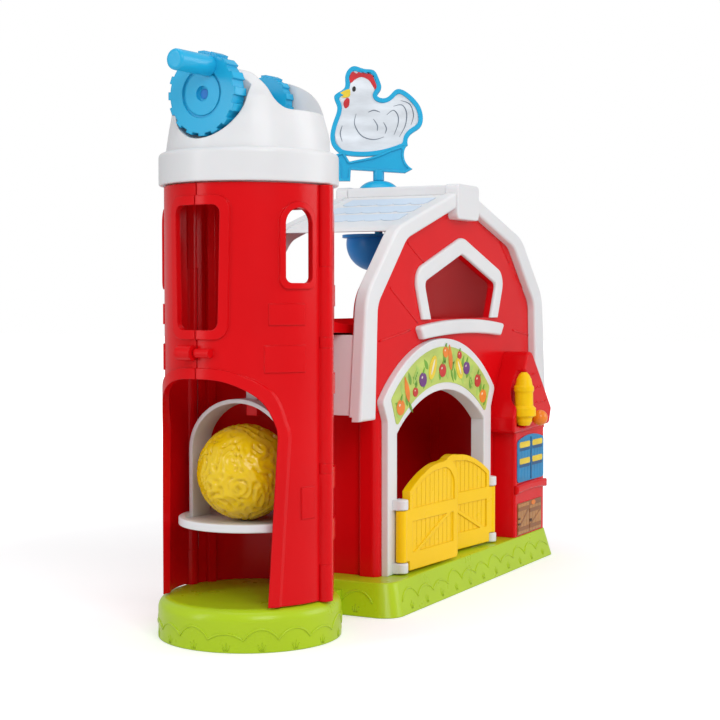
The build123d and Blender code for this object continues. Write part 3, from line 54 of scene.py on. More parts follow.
BARN_X = 3.5
SILO_X = -225.5
SILO_TURN = math.radians(-5.0)
VANE_Y = 26.0
VANE_TURN = math.radians(-62.5)

# The photograph's camera: side and focal length in pixels, place in millimetres, angles in degrees.
PHOTO_SIDE = 720
PHOTO_FOCAL = 1540.0
PHOTO_PLACE = (-1041.5, -502.1, 209.1)
PHOTO_YAW = 27.5
PHOTO_PITCH = 2.306

# The range where most values of a noise texture lie, and the fineness of each noise.
NOISE_LOW = 0.3
NOISE_HIGH = 0.7
FLOW_SCALE = 14.0
WEAR_SCALE = 60.0
SKIN_SCALE = 900.0
INK_SCALE = 40.0
PAPER_SCALE = 1500.0
STEEL_SCALE = 400.0


# ---------------------------------------------------------------- materials
def node_tree(name):
    """A new material with a Principled shader."""
    material = bpy.data.materials.new(name)
    material.use_nodes = True
    tree = material.node_tree
    return material, tree, tree.nodes["Principled BSDF"]


def ramp(tree, source, stops):
    """Colour ramp fed by a value."""
    node = tree.nodes.new("ShaderNodeValToRGB")
    while len(node.color_ramp.elements) < len(stops):
        node.color_ramp.elements.new(0.5)
    for element, (place, colour) in zip(node.color_ramp.elements, stops):
        element.position = place
        element.color = (*colour, 1.0)
    tree.links.new(source, node.inputs[0])
    return node.outputs[0]


def noise_value(tree, scale, detail=2.0, stretch=(1.0, 1.0, 1.0)):
    """Noise in object space, so the pattern stays on the piece."""
    place = tree.nodes.new("ShaderNodeTexCoord")
    mapping = tree.nodes.new("ShaderNodeMapping")
    mapping.inputs["Scale"].default_value = stretch
    texture = tree.nodes.new("ShaderNodeTexNoise")
    texture.inputs["Scale"].default_value = scale
    texture.inputs["Detail"].default_value = detail
    tree.links.new(place.outputs["Object"], mapping.inputs["Vector"])
    tree.links.new(mapping.outputs["Vector"], texture.inputs["Vector"])
    return texture.outputs["Fac"]


def shade(colour, factor):
    """A colour made lighter or darker."""
    return tuple(min(1.0, channel * factor) for channel in colour)


def remap(tree, source, low, high):
    """Spread a noise value over a range."""
    node = tree.nodes.new("ShaderNodeMapRange")
    node.inputs["From Min"].default_value = NOISE_LOW
    node.inputs["From Max"].default_value = NOISE_HIGH
    node.inputs["To Min"].default_value = low
    node.inputs["To Max"].default_value = high
    tree.links.new(source, node.inputs["Value"])
    return node.outputs["Result"]


def bumps(tree, shader, height, strength, distance, edge=0.0):
    """Surface relief, with the edges of the moulding softened when an edge radius is given."""
    bump = tree.nodes.new("ShaderNodeBump")
    bump.inputs["Strength"].default_value = strength
    bump.inputs["Distance"].default_value = distance
    tree.links.new(height, bump.inputs["Height"])
    if edge > 0:
        soften = tree.nodes.new("ShaderNodeBevel")
        soften.samples = 6
        soften.inputs["Radius"].default_value = edge
        tree.links.new(soften.outputs["Normal"], bump.inputs["Normal"])
    tree.links.new(bump.outputs["Normal"], shader.inputs["Normal"])


def plastic(name, colour, rough, coat, grain=0.05, edge=0.0009, scatter=0.0, shine=0.30):
    """Moulded plastic: faint flow marks in the colour, a fine skin and softened edges."""
    material, tree, shader = node_tree(name)
    flow = noise_value(tree, FLOW_SCALE, 3.0)
    tint = ramp(tree, flow, [(NOISE_LOW, shade(colour, 0.95)), (NOISE_HIGH, shade(colour, 1.04))])
    tree.links.new(tint, shader.inputs["Base Color"])
    wear = noise_value(tree, WEAR_SCALE, 4.0)
    tree.links.new(remap(tree, wear, rough * 0.88, rough * 1.14), shader.inputs["Roughness"])
    skin = noise_value(tree, SKIN_SCALE)
    bumps(tree, shader, skin, grain, 0.0002, edge)
    shader.inputs["Coat Weight"].default_value = coat
    shader.inputs["Coat Roughness"].default_value = 0.12
    shader.inputs["Specular IOR Level"].default_value = shine
    if scatter > 0:
        shader.inputs["Subsurface Weight"].default_value = scatter
        shader.inputs["Subsurface Scale"].default_value = 0.004
    return material


def printed(name, colour):
    """Printed film: matt colour with a slight uneven ink."""
    material, tree, shader = node_tree(name)
    ink = noise_value(tree, INK_SCALE, 4.0, (1.0, 1.0, 3.0))
    tint = ramp(tree, ink, [(0.25, shade(colour, 0.78)), (0.75, shade(colour, 1.12))])
    tree.links.new(tint, shader.inputs["Base Color"])
    tree.links.new(remap(tree, ink, 0.42, 0.52), shader.inputs["Roughness"])
    bumps(tree, shader, noise_value(tree, PAPER_SCALE), 0.04, 0.0001)
    return material


def steel(name):
    """Plain drawn steel with fine lines along Z."""
    material, tree, shader = node_tree(name)
    lines = noise_value(tree, STEEL_SCALE, 2.0, (1.0, 1.0, 0.02))
    tint = ramp(tree, lines, [(NOISE_LOW, (0.5, 0.5, 0.52)), (NOISE_HIGH, (0.7, 0.7, 0.72))])
    tree.links.new(tint, shader.inputs["Base Color"])
    shader.inputs["Metallic"].default_value = 1.0
    tree.links.new(remap(tree, lines, 0.22, 0.36), shader.inputs["Roughness"])
    bumps(tree, shader, lines, 0.1, 0.0001)
    return material


def board_green(name):
    """Solder mask with lighter tracks."""
    material, tree, shader = node_tree(name)
    place = tree.nodes.new("ShaderNodeTexCoord")
    bricks = tree.nodes.new("ShaderNodeTexBrick")
    bricks.inputs["Scale"].default_value = 220.0
    bricks.inputs["Color1"].default_value = (0.01, 0.14, 0.05, 1)
    bricks.inputs["Color2"].default_value = (0.01, 0.18, 0.06, 1)
    bricks.inputs["Mortar"].default_value = (0.03, 0.30, 0.10, 1)
    tree.links.new(place.outputs["Object"], bricks.inputs["Vector"])
    tree.links.new(bricks.outputs["Color"], shader.inputs["Base Color"])
    bumps(tree, shader, bricks.outputs["Fac"], 0.1, 0.0001)
    shader.inputs["Roughness"].default_value = 0.4
    return material


def twisted_cord(name):
    """Pale cord with slanting strands."""
    material, tree, shader = node_tree(name)
    place = tree.nodes.new("ShaderNodeTexCoord")
    wave = tree.nodes.new("ShaderNodeTexWave")
    wave.bands_direction = "DIAGONAL"
    wave.inputs["Scale"].default_value = 500.0
    tree.links.new(place.outputs["Object"], wave.inputs["Vector"])
    tint = ramp(tree, wave.outputs["Fac"], [(0.2, (0.5, 0.48, 0.44)), (0.8, (0.85, 0.83, 0.78))])
    tree.links.new(tint, shader.inputs["Base Color"])
    bumps(tree, shader, wave.outputs["Fac"], 0.6, 0.0003)
    shader.inputs["Roughness"].default_value = 0.85
    return material


RED = (0.70, 0.003, 0.006)
WHITE = (0.76, 0.76, 0.77)
GREEN = (0.44, 0.62, 0.010)
YELLOW = (0.97, 0.60, 0.002)
BLUE = (0.015, 0.42, 0.72)
DEEP_BLUE = (0.001, 0.20, 0.60)

materials = {
    "red": plastic("red_plastic", RED, 0.22, 0.0, shine=0.15),
    "white": plastic("white_plastic", WHITE, 0.36, 0.10, scatter=0.05),
    "green": plastic("green_plastic", GREEN, 0.30, 0.10),
    "yellow": plastic("yellow_plastic", YELLOW, 0.30, 0.0, shine=0.18),
    "blue": plastic("blue_plastic", BLUE, 0.24, 0.10),
    "deep_blue": plastic("deep_blue_plastic", DEEP_BLUE, 0.34, 0.05),
    "hay": plastic("hay_plastic", (0.86, 0.58, 0.004), 0.22, 0.35, 0.1, 0.0),
    "orange": plastic("orange_plastic", (0.88, 0.24, 0.012), 0.28, 0.3),
    "shingle": plastic("shingle_paint", (0.62, 0.72, 0.84), 0.42, 0.02),
    "dark": plastic("dark_plastic", (0.02, 0.02, 0.024), 0.5, 0.0),
    "steel": steel("drawn_steel"),
    "board": board_green("solder_mask"),
    "cord": twisted_cord("hoist_cord_fibre"),
    "cell": printed("cell_wrap", (0.05, 0.05, 0.06)),
    "label": printed("label_paper", (0.50, 0.62, 0.12)),
    "ink_blue": printed("ink_blue", (0.010, 0.25, 0.52)),
    "ink_navy": printed("ink_navy", (0.004, 0.09, 0.24)),
    "ink_yellow": printed("ink_yellow", (0.85, 0.62, 0.03)),
    "ink_brown": printed("ink_brown", (0.30, 0.11, 0.03)),
    "ink_tan": printed("ink_tan", (0.48, 0.22, 0.07)),
    "ink_dark": printed("ink_dark", (0.10, 0.030, 0.008)),
    "ink_leaf": printed("ink_leaf", (0.16, 0.38, 0.03)),
    "ink_leaf_pale": printed("ink_leaf_pale", (0.42, 0.62, 0.12)),
    "ink_orange": printed("ink_orange", (0.85, 0.22, 0.015)),
    "ink_red": printed("ink_red", (0.62, 0.02, 0.02)),
    "ink_purple": printed("ink_purple", (0.16, 0.03, 0.22)),
    "ink_cream": printed("ink_cream", (0.85, 0.80, 0.62)),
    "hen_white": printed("hen_white", (0.74, 0.79, 0.84)),
    "hen_line": printed("hen_line", (0.16, 0.20, 0.25)),
    "hen_red": printed("hen_red", (0.60, 0.012, 0.02)),
    "black": printed("ink_black", (0.008, 0.008, 0.010)),
}

node_materials = {
    "green": ("barn_base", "barn_base_cover", "silo_base", "silo_base_cover", "base_bridge"),
    "white": ("gable_trim_front", "gable_trim_rear", "roof_top", "roof_left", "roof_right", "ridge_cap",
              "loft_window_frame", "loft_sill", "door_arch", "silo_cap", "hoist_bearer",
              "lift_car", "lift_bail"),
    "yellow": ("barn_door_left", "barn_door_right", "corn_roller"),
    "hay": ("hay_ball",),
    "blue": ("crank_wheel", "crank_handle", "hoist_wheel", "hoist_drum",
             "vane_boss", "vane_arrow", "hen_plate"),
    "deep_blue": ("vane_bowl", "crank_axle"),
    "orange": ("knob",),
    "label": ("arch_label",),
    "ink_blue": ("stable_window",),
    "ink_brown": ("stable_doors",),
    "hen_white": ("hen_faces",),
    "steel": ("base_screws", "door_hinge_pins", "silo_hinge_pins"),
    "dark": ("battery_box", "speaker"),
    "board": ("circuit_board",),
    "cell": ("batteries",),
    "cord": ("hoist_cord",),
}


def dress_nodes():
    """Give every CAD node its material; what isn't listed is red plastic."""
    chosen = {node: key for key, nodes in node_materials.items() for node in nodes}
    for name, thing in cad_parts.items():
        material = materials[chosen.get(name, "red")]
        thing.data.materials.clear()
        thing.data.materials.append(material)


# ---------------------------------------------------------------- mesh helpers
NO_LENGTH = 1e-6


def piece(name, mesh, material, body, smooth=True):
    """Link a mesh as a piece that rides on a body."""
    thing = bpy.data.objects.new(name, mesh)
    bpy.context.scene.collection.objects.link(thing)
    mesh.materials.append(materials[material])
    if smooth:
        mesh.polygons.foreach_set("use_smooth", [True] * len(mesh.polygons))
    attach(thing, body)
    return thing


def mesh_from(bm, name):
    """Turn a bmesh into a mesh."""
    bmesh.ops.recalc_face_normals(bm, faces=bm.faces)
    mesh = bpy.data.meshes.new(name)
    bm.to_mesh(mesh)
    bm.free()
    return mesh


def add_tube(bm, points, radius, sides, squash, outward):
    """Round bead along points in millimetres; squash flattens it along the outward direction.

    radius is one value, or a list with one for each point."""
    count = len(points)
    radii = radius if isinstance(radius, list) else [radius] * count
    rings = []
    for i, point in enumerate(points):
        before, after = points[max(i - 1, 0)], points[min(i + 1, count - 1)]
        along = (Vector(after) - Vector(before)).normalized()
        side = along.cross(outward(Vector(point)))
        if side.length < NO_LENGTH:
            side = along.cross(Vector((1, 0, 0)))
        side.normalize()
        lift = side.cross(along).normalized()
        ring = []
        for k in range(sides):
            angle = 2 * math.pi * k / sides
            shift = side * math.cos(angle) * radii[i] + lift * math.sin(angle) * radii[i] * squash
            ring.append(bm.verts.new((Vector(point) + shift) * MM))
        rings.append(ring)
    for a, b in zip(rings, rings[1:]):
        for k in range(sides):
            bm.faces.new((a[k], a[(k + 1) % sides], b[(k + 1) % sides], b[k]))
    bm.faces.new(rings[0][::-1])
    bm.faces.new(rings[-1])


def arc_points(centre, radius, start, end, count):
    """Points on a 2-D arc, angles in degrees."""
    out = []
    for i in range(count):
        angle = math.radians(start + (end - start) * i / (count - 1))
        out.append((centre[0] + radius * math.cos(angle), centre[1] + radius * math.sin(angle)))
    return out


def smooth_line(points, steps, closed=False):
    """Catmull-Rom curve through 2-D or 3-D points."""
    control = [Vector(p) for p in points]
    count = len(control)
    out = []
    last = count if closed else count - 1
    for i in range(last):
        p0 = control[i - 1] if i > 0 or closed else control[i]
        p1 = control[i]
        p2 = control[(i + 1) % count]
        p3 = control[(i + 2) % count] if i + 2 < count or closed else p2
        for k in range(steps):
            t = k / steps
            out.append(0.5 * (2 * p1 + (p2 - p0) * t + (2 * p0 - 5 * p1 + 4 * p2 - p3) * t * t
                              + (3 * p1 - p0 - 3 * p2 + p3) * t * t * t))
    if not closed:
        out.append(control[-1])
    return out


def add_slab(bm, outline, to_place, low, high, round_over=0.0):
    """Extrude a closed outline of (u, v) millimetres between two heights over a surface.

    to_place turns (u, v, height) into a point in millimetres. round_over draws the top in a little."""
    count = len(outline)
    base = [bm.verts.new(Vector(to_place(u, v, low)) * MM) for u, v in outline]
    shoulder = [bm.verts.new(Vector(to_place(u, v, high - round_over * 0.5)) * MM) for u, v in outline]
    rings = [base, shoulder]
    if round_over > 0:
        area = sum(outline[i][0] * outline[(i + 1) % count][1] - outline[(i + 1) % count][0] * outline[i][1]
                   for i in range(count))
        turn = 1.0 if area > 0 else -1.0
        drawn = []
        for i in range(count):
            before, after = outline[i - 1], outline[(i + 1) % count]
            along = Vector((after[0] - before[0], after[1] - before[1]))
            if along.length < NO_LENGTH:
                along = Vector((1.0, 0.0))
            along.normalize()
            drawn.append((outline[i][0] - along.y * turn * round_over,
                          outline[i][1] + along.x * turn * round_over))
        rings.append([bm.verts.new(Vector(to_place(u, v, high)) * MM) for u, v in drawn])
    for a, b in zip(rings, rings[1:]):
        for i in range(count):
            j = (i + 1) % count
            bm.faces.new((a[i], a[j], b[j], b[i]))
    top = bm.faces.new(rings[-1])
    bottom = bm.faces.new(base[::-1])
    top.normal_update()
    bottom.normal_update()
    bmesh.ops.triangulate(bm, faces=[top, bottom])


def ellipse(cx, cy, rx, ry, turn=0.0, count=20):
    """Closed ellipse outline."""
    out = []
    c, s = math.cos(math.radians(turn)), math.sin(math.radians(turn))
    for i in range(count):
        angle = 2 * math.pi * i / count
        x, y = rx * math.cos(angle), ry * math.sin(angle)
        out.append((cx + x * c - y * s, cy + x * s + y * c))
    return out


def rounded_box(x0, y0, x1, y1, corner, steps):
    """Closed outline of a rectangle with round corners."""
    out = []
    for cx, cy, start in ((x1 - corner, y1 - corner, 0), (x0 + corner, y1 - corner, 90),
                          (x0 + corner, y0 + corner, 180), (x1 - corner, y0 + corner, 270)):
        out.extend(arc_points((cx, cy), corner, start, start + 90, steps))
    return out


def silo_point(angle, radius, z):
    """A point on the silo in millimetres; angle 0 faces the barn, in the silo's own turned frame."""
    a = math.radians(angle) + SILO_TURN
    return Vector((SILO_X + radius * math.cos(a), radius * math.sin(a), z))


def silo_outward(point):
    """Direction away from the silo axis."""
    return Vector((point.x - SILO_X, point.y, 0)).normalized()


def front_place(y_face):
    """Heights stand out of a wall that faces the front."""
    return lambda u, v, h: (u, y_face - h, v)


def vane_place(side):
    """(sideways, z, height) on one face of the hen plate."""
    c, s = math.cos(VANE_TURN), math.sin(VANE_TURN)

    def place(u, v, h):
        depth = -side * h
        return (BARN_X + u * c - depth * s, VANE_Y + u * s + depth * c, v)
    return place


def box_mm(node):
    """Lowest and highest corner of a CAD node in millimetres."""
    low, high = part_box(node)
    return low / MM, high / MM


# ---------------------------------------------------------------- hay ball
STRAND_DEPTH = 4.4
FINE_DEPTH = 0.30


def hay_ball():
    """Ball of pressed hay: bundles of strands that wrap round it and cross each other."""
    low, high = box_mm("hay_ball")
    centre = (low + high) / 2
    radius = (high.z - low.z) / 2
    bm = bmesh.new()
    bmesh.ops.create_icosphere(bm, subdivisions=6, radius=1.0)
    for vert in bm.verts:
        n = vert.co.normalized()
        warp = Vector((noise.noise(n * 2.1), noise.noise(n * 2.1 + Vector((7, 1, 3))),
                       noise.noise(n * 2.1 + Vector((2, 9, 5)))))
        swirl = n + warp * 0.9
        bundle = abs(math.sin(swirl.x * 7.0 + swirl.z * 4.0 + noise.noise(n * 3.3) * 2.6))
        second = abs(math.sin(swirl.y * 9.0 - swirl.x * 3.0 + noise.noise(n * 2.7 + Vector((4, 4, 4))) * 3.0))
        ridge = max(bundle ** 0.55, second ** 0.55 * 0.93)
        fine = abs(math.sin(swirl.y * 34.0 + swirl.z * 21.0 + noise.noise(n * 5.0) * 4.0))
        groove = STRAND_DEPTH * (1.0 - ridge) ** 1.1 + FINE_DEPTH * (1.0 - fine)
        vert.co = (centre + n * (radius - groove)) * MM
    mesh = mesh_from(bm, "hay_ball_strands")
    thing = piece("hay_ball_strands", mesh, "hay", "ball")
    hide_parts("hay_ball")


# ---------------------------------------------------------------- bases
BASE_SLOPE = 5.5 / 22.0
BASE_CORNER = 17.0
BASE_HEDGE = (9.0, 16.5)
SILO_FOOT_RADIUS = 57.0
SILO_HEDGE = (7.5, 15.0)
HEDGE_BEAD = 0.75
HUMP_STEPS = 9
BEAD_SQUASH = 0.8
GRASS_DROP = 6.5
GRASS_BLADES = ((-2.0, 4.0), (0.6, 5.2), (2.8, 3.6))
GRASS_STEPS = (0, 0.35, 0.7, 1)
GRASS_RADII = [0.35, 0.5, 0.42, 0.15]


def bush_line(bm, start, end, to_surface, outward, bushes, low, high):
    """A raised hedge line of round humps along a base, with short grass strokes under it."""
    span = (end - start) / bushes
    points = []
    for i in range(bushes):
        left = start + span * i
        tall = low + (high - low) * (0.75 + 0.25 * math.sin(i * 2.3 + 1.0))
        for k in range(HUMP_STEPS):
            t = k / HUMP_STEPS
            points.append(to_surface(left + span * t, low + (tall - low) * math.sin(math.pi * t) ** 0.75))
    points.append(to_surface(end, low))
    add_tube(bm, points, HEDGE_BEAD, 8, BEAD_SQUASH, outward)
    for i in range(bushes):
        middle = start + span * (i + 0.5)
        for lean, tall in GRASS_BLADES:
            blade = [to_surface(middle + lean * (0.4 + 0.6 * t), low - GRASS_DROP + tall * t)
                     for t in GRASS_STEPS]
            add_tube(bm, blade, GRASS_RADII, 6, BEAD_SQUASH, outward)


def base_relief():
    """Hedge and grass lines on the bases."""
    low, high = box_mm("barn_base")

    def front(u, z):
        return Vector((u, low.y + BASE_SLOPE * z, z))

    def back(u, z):
        return Vector((u, high.y - BASE_SLOPE * z, z))

    def left(u, z):
        return Vector((low.x + BASE_SLOPE * z, u, z))

    def right(u, z):
        return Vector((high.x - BASE_SLOPE * z, u, z))

    def round_foot(u, z):
        return silo_point(u, SILO_FOOT_RADIUS, z)

    along_x = (low.x + BASE_CORNER, high.x - BASE_CORNER, 11)
    along_y = (low.y + BASE_CORNER, high.y - BASE_CORNER, 4)
    bm = bmesh.new()
    for surface, facing, (start, end, bushes) in (
            (front, Vector((0, -1, 0.2)), along_x), (back, Vector((0, 1, 0.2)), along_x),
            (left, Vector((-1, 0, 0.2)), along_y), (right, Vector((1, 0, 0.2)), along_y)):
        bush_line(bm, start, end, surface, lambda p, f=facing: f, bushes, *BASE_HEDGE)
    piece("barn_base_hedge", mesh_from(bm, "barn_base_hedge"), "green", "toy")
    bm = bmesh.new()
    bush_line(bm, 40.0, 320.0, round_foot, silo_outward, 13, *SILO_HEDGE)
    piece("silo_base_hedge", mesh_from(bm, "silo_base_hedge"), "green", "toy")


# ---------------------------------------------------------------- hen
HEN_BODY = [
    (-25.5, 319.5), (-33.0, 331.0), (-30.6, 344.0), (-27.5, 352.0), (-24.0, 358.0), (-22.5, 364.0),
    (-21.0, 371.0), (-16.0, 376.5), (-9.0, 377.0), (-3.5, 373.0), (-3.0, 366.0), (-5.5, 360.0),
    (-1.0, 355.5), (4.0, 355.8), (12.5, 361.5), (22.0, 357.5), (28.8, 347.5), (27.5, 339.0),
    (22.5, 335.0), (19.2, 326.0), (10.0, 322.2), (-8.0, 319.2),
]
HEN_COMB = [
    (-21.0, 371.0), (-22.5, 375.0), (-20.0, 379.5), (-16.5, 378.0), (-14.0, 380.5), (-10.0, 378.6),
    (-7.0, 379.4), (-3.2, 376.0), (-1.5, 370.5), (-2.6, 366.0), (-4.4, 368.5), (-7.5, 373.0), (-13.0, 375.4),
    (-18.0, 373.4),
]
HEN_BEAK = [(-22.4, 366.4), (-28.8, 363.6), (-26.4, 361.8), (-28.2, 360.2), (-22.6, 360.4), (-21.4, 363.2)]
HEN_WATTLE = [(-24.2, 359.6), (-26.6, 356.0), (-25.4, 352.0), (-22.6, 353.6), (-22.0, 358.6)]


HEN_STROKES = (
    [(-17.0, 348.0), (-18.2, 340.0), (-13.0, 331.5), (-4.0, 328.5), (4.0, 330.5)],
    [(-4.0, 344.0), (-1.0, 339.0), (-1.2, 335.0)],
    [(3.6, 341.5), (5.8, 337.0), (4.8, 333.0)],
    [(-8.0, 349.0), (-3.5, 350.5), (1.0, 349.0)],
    [(6.0, 347.0), (11.0, 350.5), (14.5, 346.5), (14.5, 340.0), (11.5, 332.0)],
    [(11.0, 353.5), (17.5, 354.5), (21.0, 348.5), (20.0, 339.0), (15.5, 330.5)],
    [(16.5, 357.8), (23.5, 355.0), (26.2, 347.0), (24.4, 339.5)],
    [(-27.5, 327.0), (-29.0, 333.0), (-27.5, 339.0)],
)
# (name, outline, material, height of the layer over the print's ground)
HEN_LAYERS = (
    ("hen_body_", smooth_line(HEN_BODY, 5, True), "hen_white", 0.5),
    ("hen_comb_", smooth_line(HEN_COMB, 4, True), "hen_red", 0.75),
    ("hen_beak_", smooth_line(HEN_BEAK, 3, True), "ink_yellow", 0.8),
    ("hen_wattle_", smooth_line(HEN_WATTLE, 4, True), "hen_red", 0.7),
    ("hen_eye_", ellipse(-18.6, 366.4, 1.35, 2.0, -8), "black", 0.95),
)
PLATE_HALF = 3.5
PLATE_RECESS = 1.2
PRINT_GROUND = PLATE_HALF - PLATE_RECESS + 0.45
STROKE_LEVEL = PRINT_GROUND + 0.5


def hen():
    """White hen with a red comb and wattle on both faces of the plate."""
    for side in (-1, 1):
        to_place = vane_place(side)
        tag = "near" if side > 0 else "far"
        for name, outline, material, height in HEN_LAYERS:
            bm = bmesh.new()
            add_slab(bm, [(p[0], p[1]) for p in outline], to_place, PRINT_GROUND, PRINT_GROUND + height, 0.12)
            piece(name + tag, mesh_from(bm, name + tag), material, "vane", smooth=False)
        bm = bmesh.new()
        facing = Vector(to_place(0, 0, 1)) - Vector(to_place(0, 0, 0))
        for stroke in HEN_STROKES:
            line = [Vector(to_place(p[0], p[1], STROKE_LEVEL)) for p in smooth_line(stroke, 5)]
            count = len(line)
            widths = [0.12 + 0.30 * math.sin(math.pi * (i + 0.5) / count) for i in range(count)]
            add_tube(bm, line, widths, 6, 0.5, lambda p, f=facing: f)
        piece("hen_lines_" + tag, mesh_from(bm, "hen_lines_" + tag), "hen_line", "vane")


# ---------------------------------------------------------------- label on the arch
ARCH_X = -32.5
LABEL_HALF = 85.0
LABEL_SIDE_Z = 141.0
LABEL_TOP_Z = 174.3
LABEL_LOW_HALF = 76.5
LABEL_LOW_Z = 122.0
LABEL_INNER_TOP_Z = 148.5


def arc_point(half, side_z, top_z, u):
    """A point on the arc through two sides and a top; u runs from -1 on the left to 1 on the right."""
    rise = top_z - side_z
    radius = (half * half + rise * rise) / (2 * rise)
    angle = math.asin(half / radius) * u
    return radius * math.sin(angle), top_z - radius + radius * math.cos(angle), angle


def label_point(u, v):
    """(x, z, turn) on the label; v runs from 0 at its inner edge to 1 at its outer edge."""
    x0, z0, _ = arc_point(LABEL_LOW_HALF, LABEL_LOW_Z, LABEL_INNER_TOP_Z, u)
    x1, z1, turn = arc_point(LABEL_HALF, LABEL_SIDE_Z, LABEL_TOP_Z, u)
    return ARCH_X + x0 + (x1 - x0) * v, z0 + (z1 - z0) * v, -math.degrees(turn)


LEAF_STEPS = 9


def leaf_outline(cx, cz, length, width, turn):
    """Pointed leaf that grows from a point."""
    c, s = math.cos(math.radians(turn)), math.sin(math.radians(turn))
    sides = [[], []]
    for i in range(LEAF_STEPS):
        t = i / (LEAF_STEPS - 1)
        across = width * math.sin(math.pi * t ** 0.8)
        sides[0].append((length * t, across))
        sides[1].append((length * t, -across))
    ring = sides[1] + sides[0][-2:0:-1]
    return [(cx + x * c - y * s, cz + x * s + y * c) for x, y in ring]


# (what it is, place along the label, place across it, size, turn)
LABEL_PLANTS = (
    ("pumpkin", -0.88, 0.34, 8.0, 0), ("carrot", -0.70, 0.36, 19.0, 80), ("pea", -0.54, 0.62, 13.0, 30),
    ("beet", -0.42, 0.34, 7.6, 0), ("squash", -0.22, 0.50, 15.0, 50), ("tomato", -0.03, 0.34, 7.4, 0),
    ("carrot", 0.14, 0.56, 19.0, 105), ("squash", 0.31, 0.46, 14.0, -45), ("beet", 0.46, 0.60, 7.2, 0),
    ("pea", 0.58, 0.34, 13.0, -35), ("tomato", 0.72, 0.56, 7.4, 0), ("pumpkin", 0.88, 0.34, 7.8, 0),
    ("tomato", -0.58, 0.20, 5.0, 0), ("pumpkin", 0.03, 0.84, 6.0, 0), ("tomato", 0.30, 0.84, 4.6, 0),
)


LABEL_INKS = ("ink_leaf", "ink_leaf_pale", "ink_orange", "ink_red", "ink_purple", "ink_yellow", "ink_cream")
ROUND_PLANT_INKS = {"pumpkin": "ink_orange", "beet": "ink_purple", "tomato": "ink_red"}
LABEL_LEAVES = 34
LEAF_TOP = 0.16
PLANT_TOP = 0.42
DETAIL_TOP = 0.52


def plant_shapes(kind, x, z, size, turn):
    """(ink, outline, height of the layer) for each part of one vegetable."""
    if kind == "carrot":
        foot = z - size * 0.3
        return [("ink_orange", leaf_outline(x, foot, size, size * 0.17, turn), PLANT_TOP),
                ("ink_leaf", leaf_outline(x, foot, -size * 0.5, 1.2, turn + 18), 0.36)]
    if kind == "pea":
        c, s = math.cos(math.radians(turn)), math.sin(math.radians(turn))
        pod = ("ink_leaf_pale", ellipse(x, z, size * 0.5, size * 0.17, turn), 0.40)
        return [pod, *(("ink_leaf", ellipse(x + k * 2.3 * c, z + k * 2.3 * s, 1.0, 1.0, 0, 12), DETAIL_TOP)
                       for k in (-1, 0, 1))]
    if kind == "squash":
        return [("ink_yellow", ellipse(x, z, size * 0.62, size * 0.34, turn), PLANT_TOP),
                ("ink_cream", ellipse(x, z + 0.5, size * 0.42, size * 0.07, turn, 14), DETAIL_TOP)]
    shine = ellipse(x - size * 0.24, z + size * 0.22, size * 0.16, size * 0.1, 30, 10)
    return [(ROUND_PLANT_INKS[kind], ellipse(x, z, size * 0.78, size * 0.66), PLANT_TOP),
            ("ink_leaf", leaf_outline(x, z + size * 0.5, size * 0.7, 0.9, 62), 0.50),
            ("ink_cream", shine, DETAIL_TOP)]


def label_art():
    """Garden vegetables between leaves on the arched label, in flat printed layers."""
    place = front_place(box_mm("arch_label")[0].y)
    layers = {key: [] for key in LABEL_INKS}
    for i in range(LABEL_LEAVES):
        u = -0.95 + 1.9 * (i + 0.5) / LABEL_LEAVES
        x, z, turn = label_point(u, 0.08 + 0.44 * (i % 3) / 2)
        key = "ink_leaf" if i % 2 else "ink_leaf_pale"
        layers[key].append((leaf_outline(x, z, 10.0, 2.2, turn + 90 + 34 * math.sin(i * 1.9)), LEAF_TOP))
    for kind, u, v, size, turn in LABEL_PLANTS:
        x, z, lean = label_point(u, v)
        for key, outline, top in plant_shapes(kind, x, z, size, turn + lean):
            layers[key].append((outline, top))
    for key, shapes in layers.items():
        bm = bmesh.new()
        for outline, top in shapes:
            add_slab(bm, outline, place, 0.0, top, 0.05)
        name = "label_" + key
        piece(name, mesh_from(bm, name), key, "toy", smooth=False)


# ---------------------------------------------------------------- moulded lines and shingles
WALL_Y = -39.5
# Each line's two ends, as (x, z) on the wall.
WALL_LINES = (
    ((-109.0, 216.2), (-65.6, 191.9)),
    ((-125.8, 180.3), (-77.7, 186.9)),
    ((117.4, 227.6), (146.3, 209.5)),
    ((112.5, 183.4), (148.3, 178.6)),
    ((-81.9, 247.3), (-55.5, 234.1)),
    ((85.5, 252.7), (103.9, 237.4)),
)
WALL_LINE_STEPS = 8
# (height, left end, right end) of each row of shingles.
STABLE_LINES = ((127.0, 92.5, 133.0), (139.0, 92.5, 122.0), (150.0, 91.5, 111.5))
STABLE_LINE_STEPS = 30
STABLE_SHINGLES = 4
STABLE_SHINGLE_DROP = 2.0
STABLE_ROOF_Y = -60.5
LINE_SQUASH = 0.6

ROOF_TOP_Z = 289.46
ROOF_FALL = 0.2982
SHINGLE_HALF = 34.0
SHINGLE_ROWS = 3
SHINGLE_START = 27.0
SHINGLE_PITCH = 23.0
SHINGLE_LENGTH = 15.0
SHINGLE_TILES = 5
SHINGLE_BOW = 3.2
SHINGLE_STEPS = 6


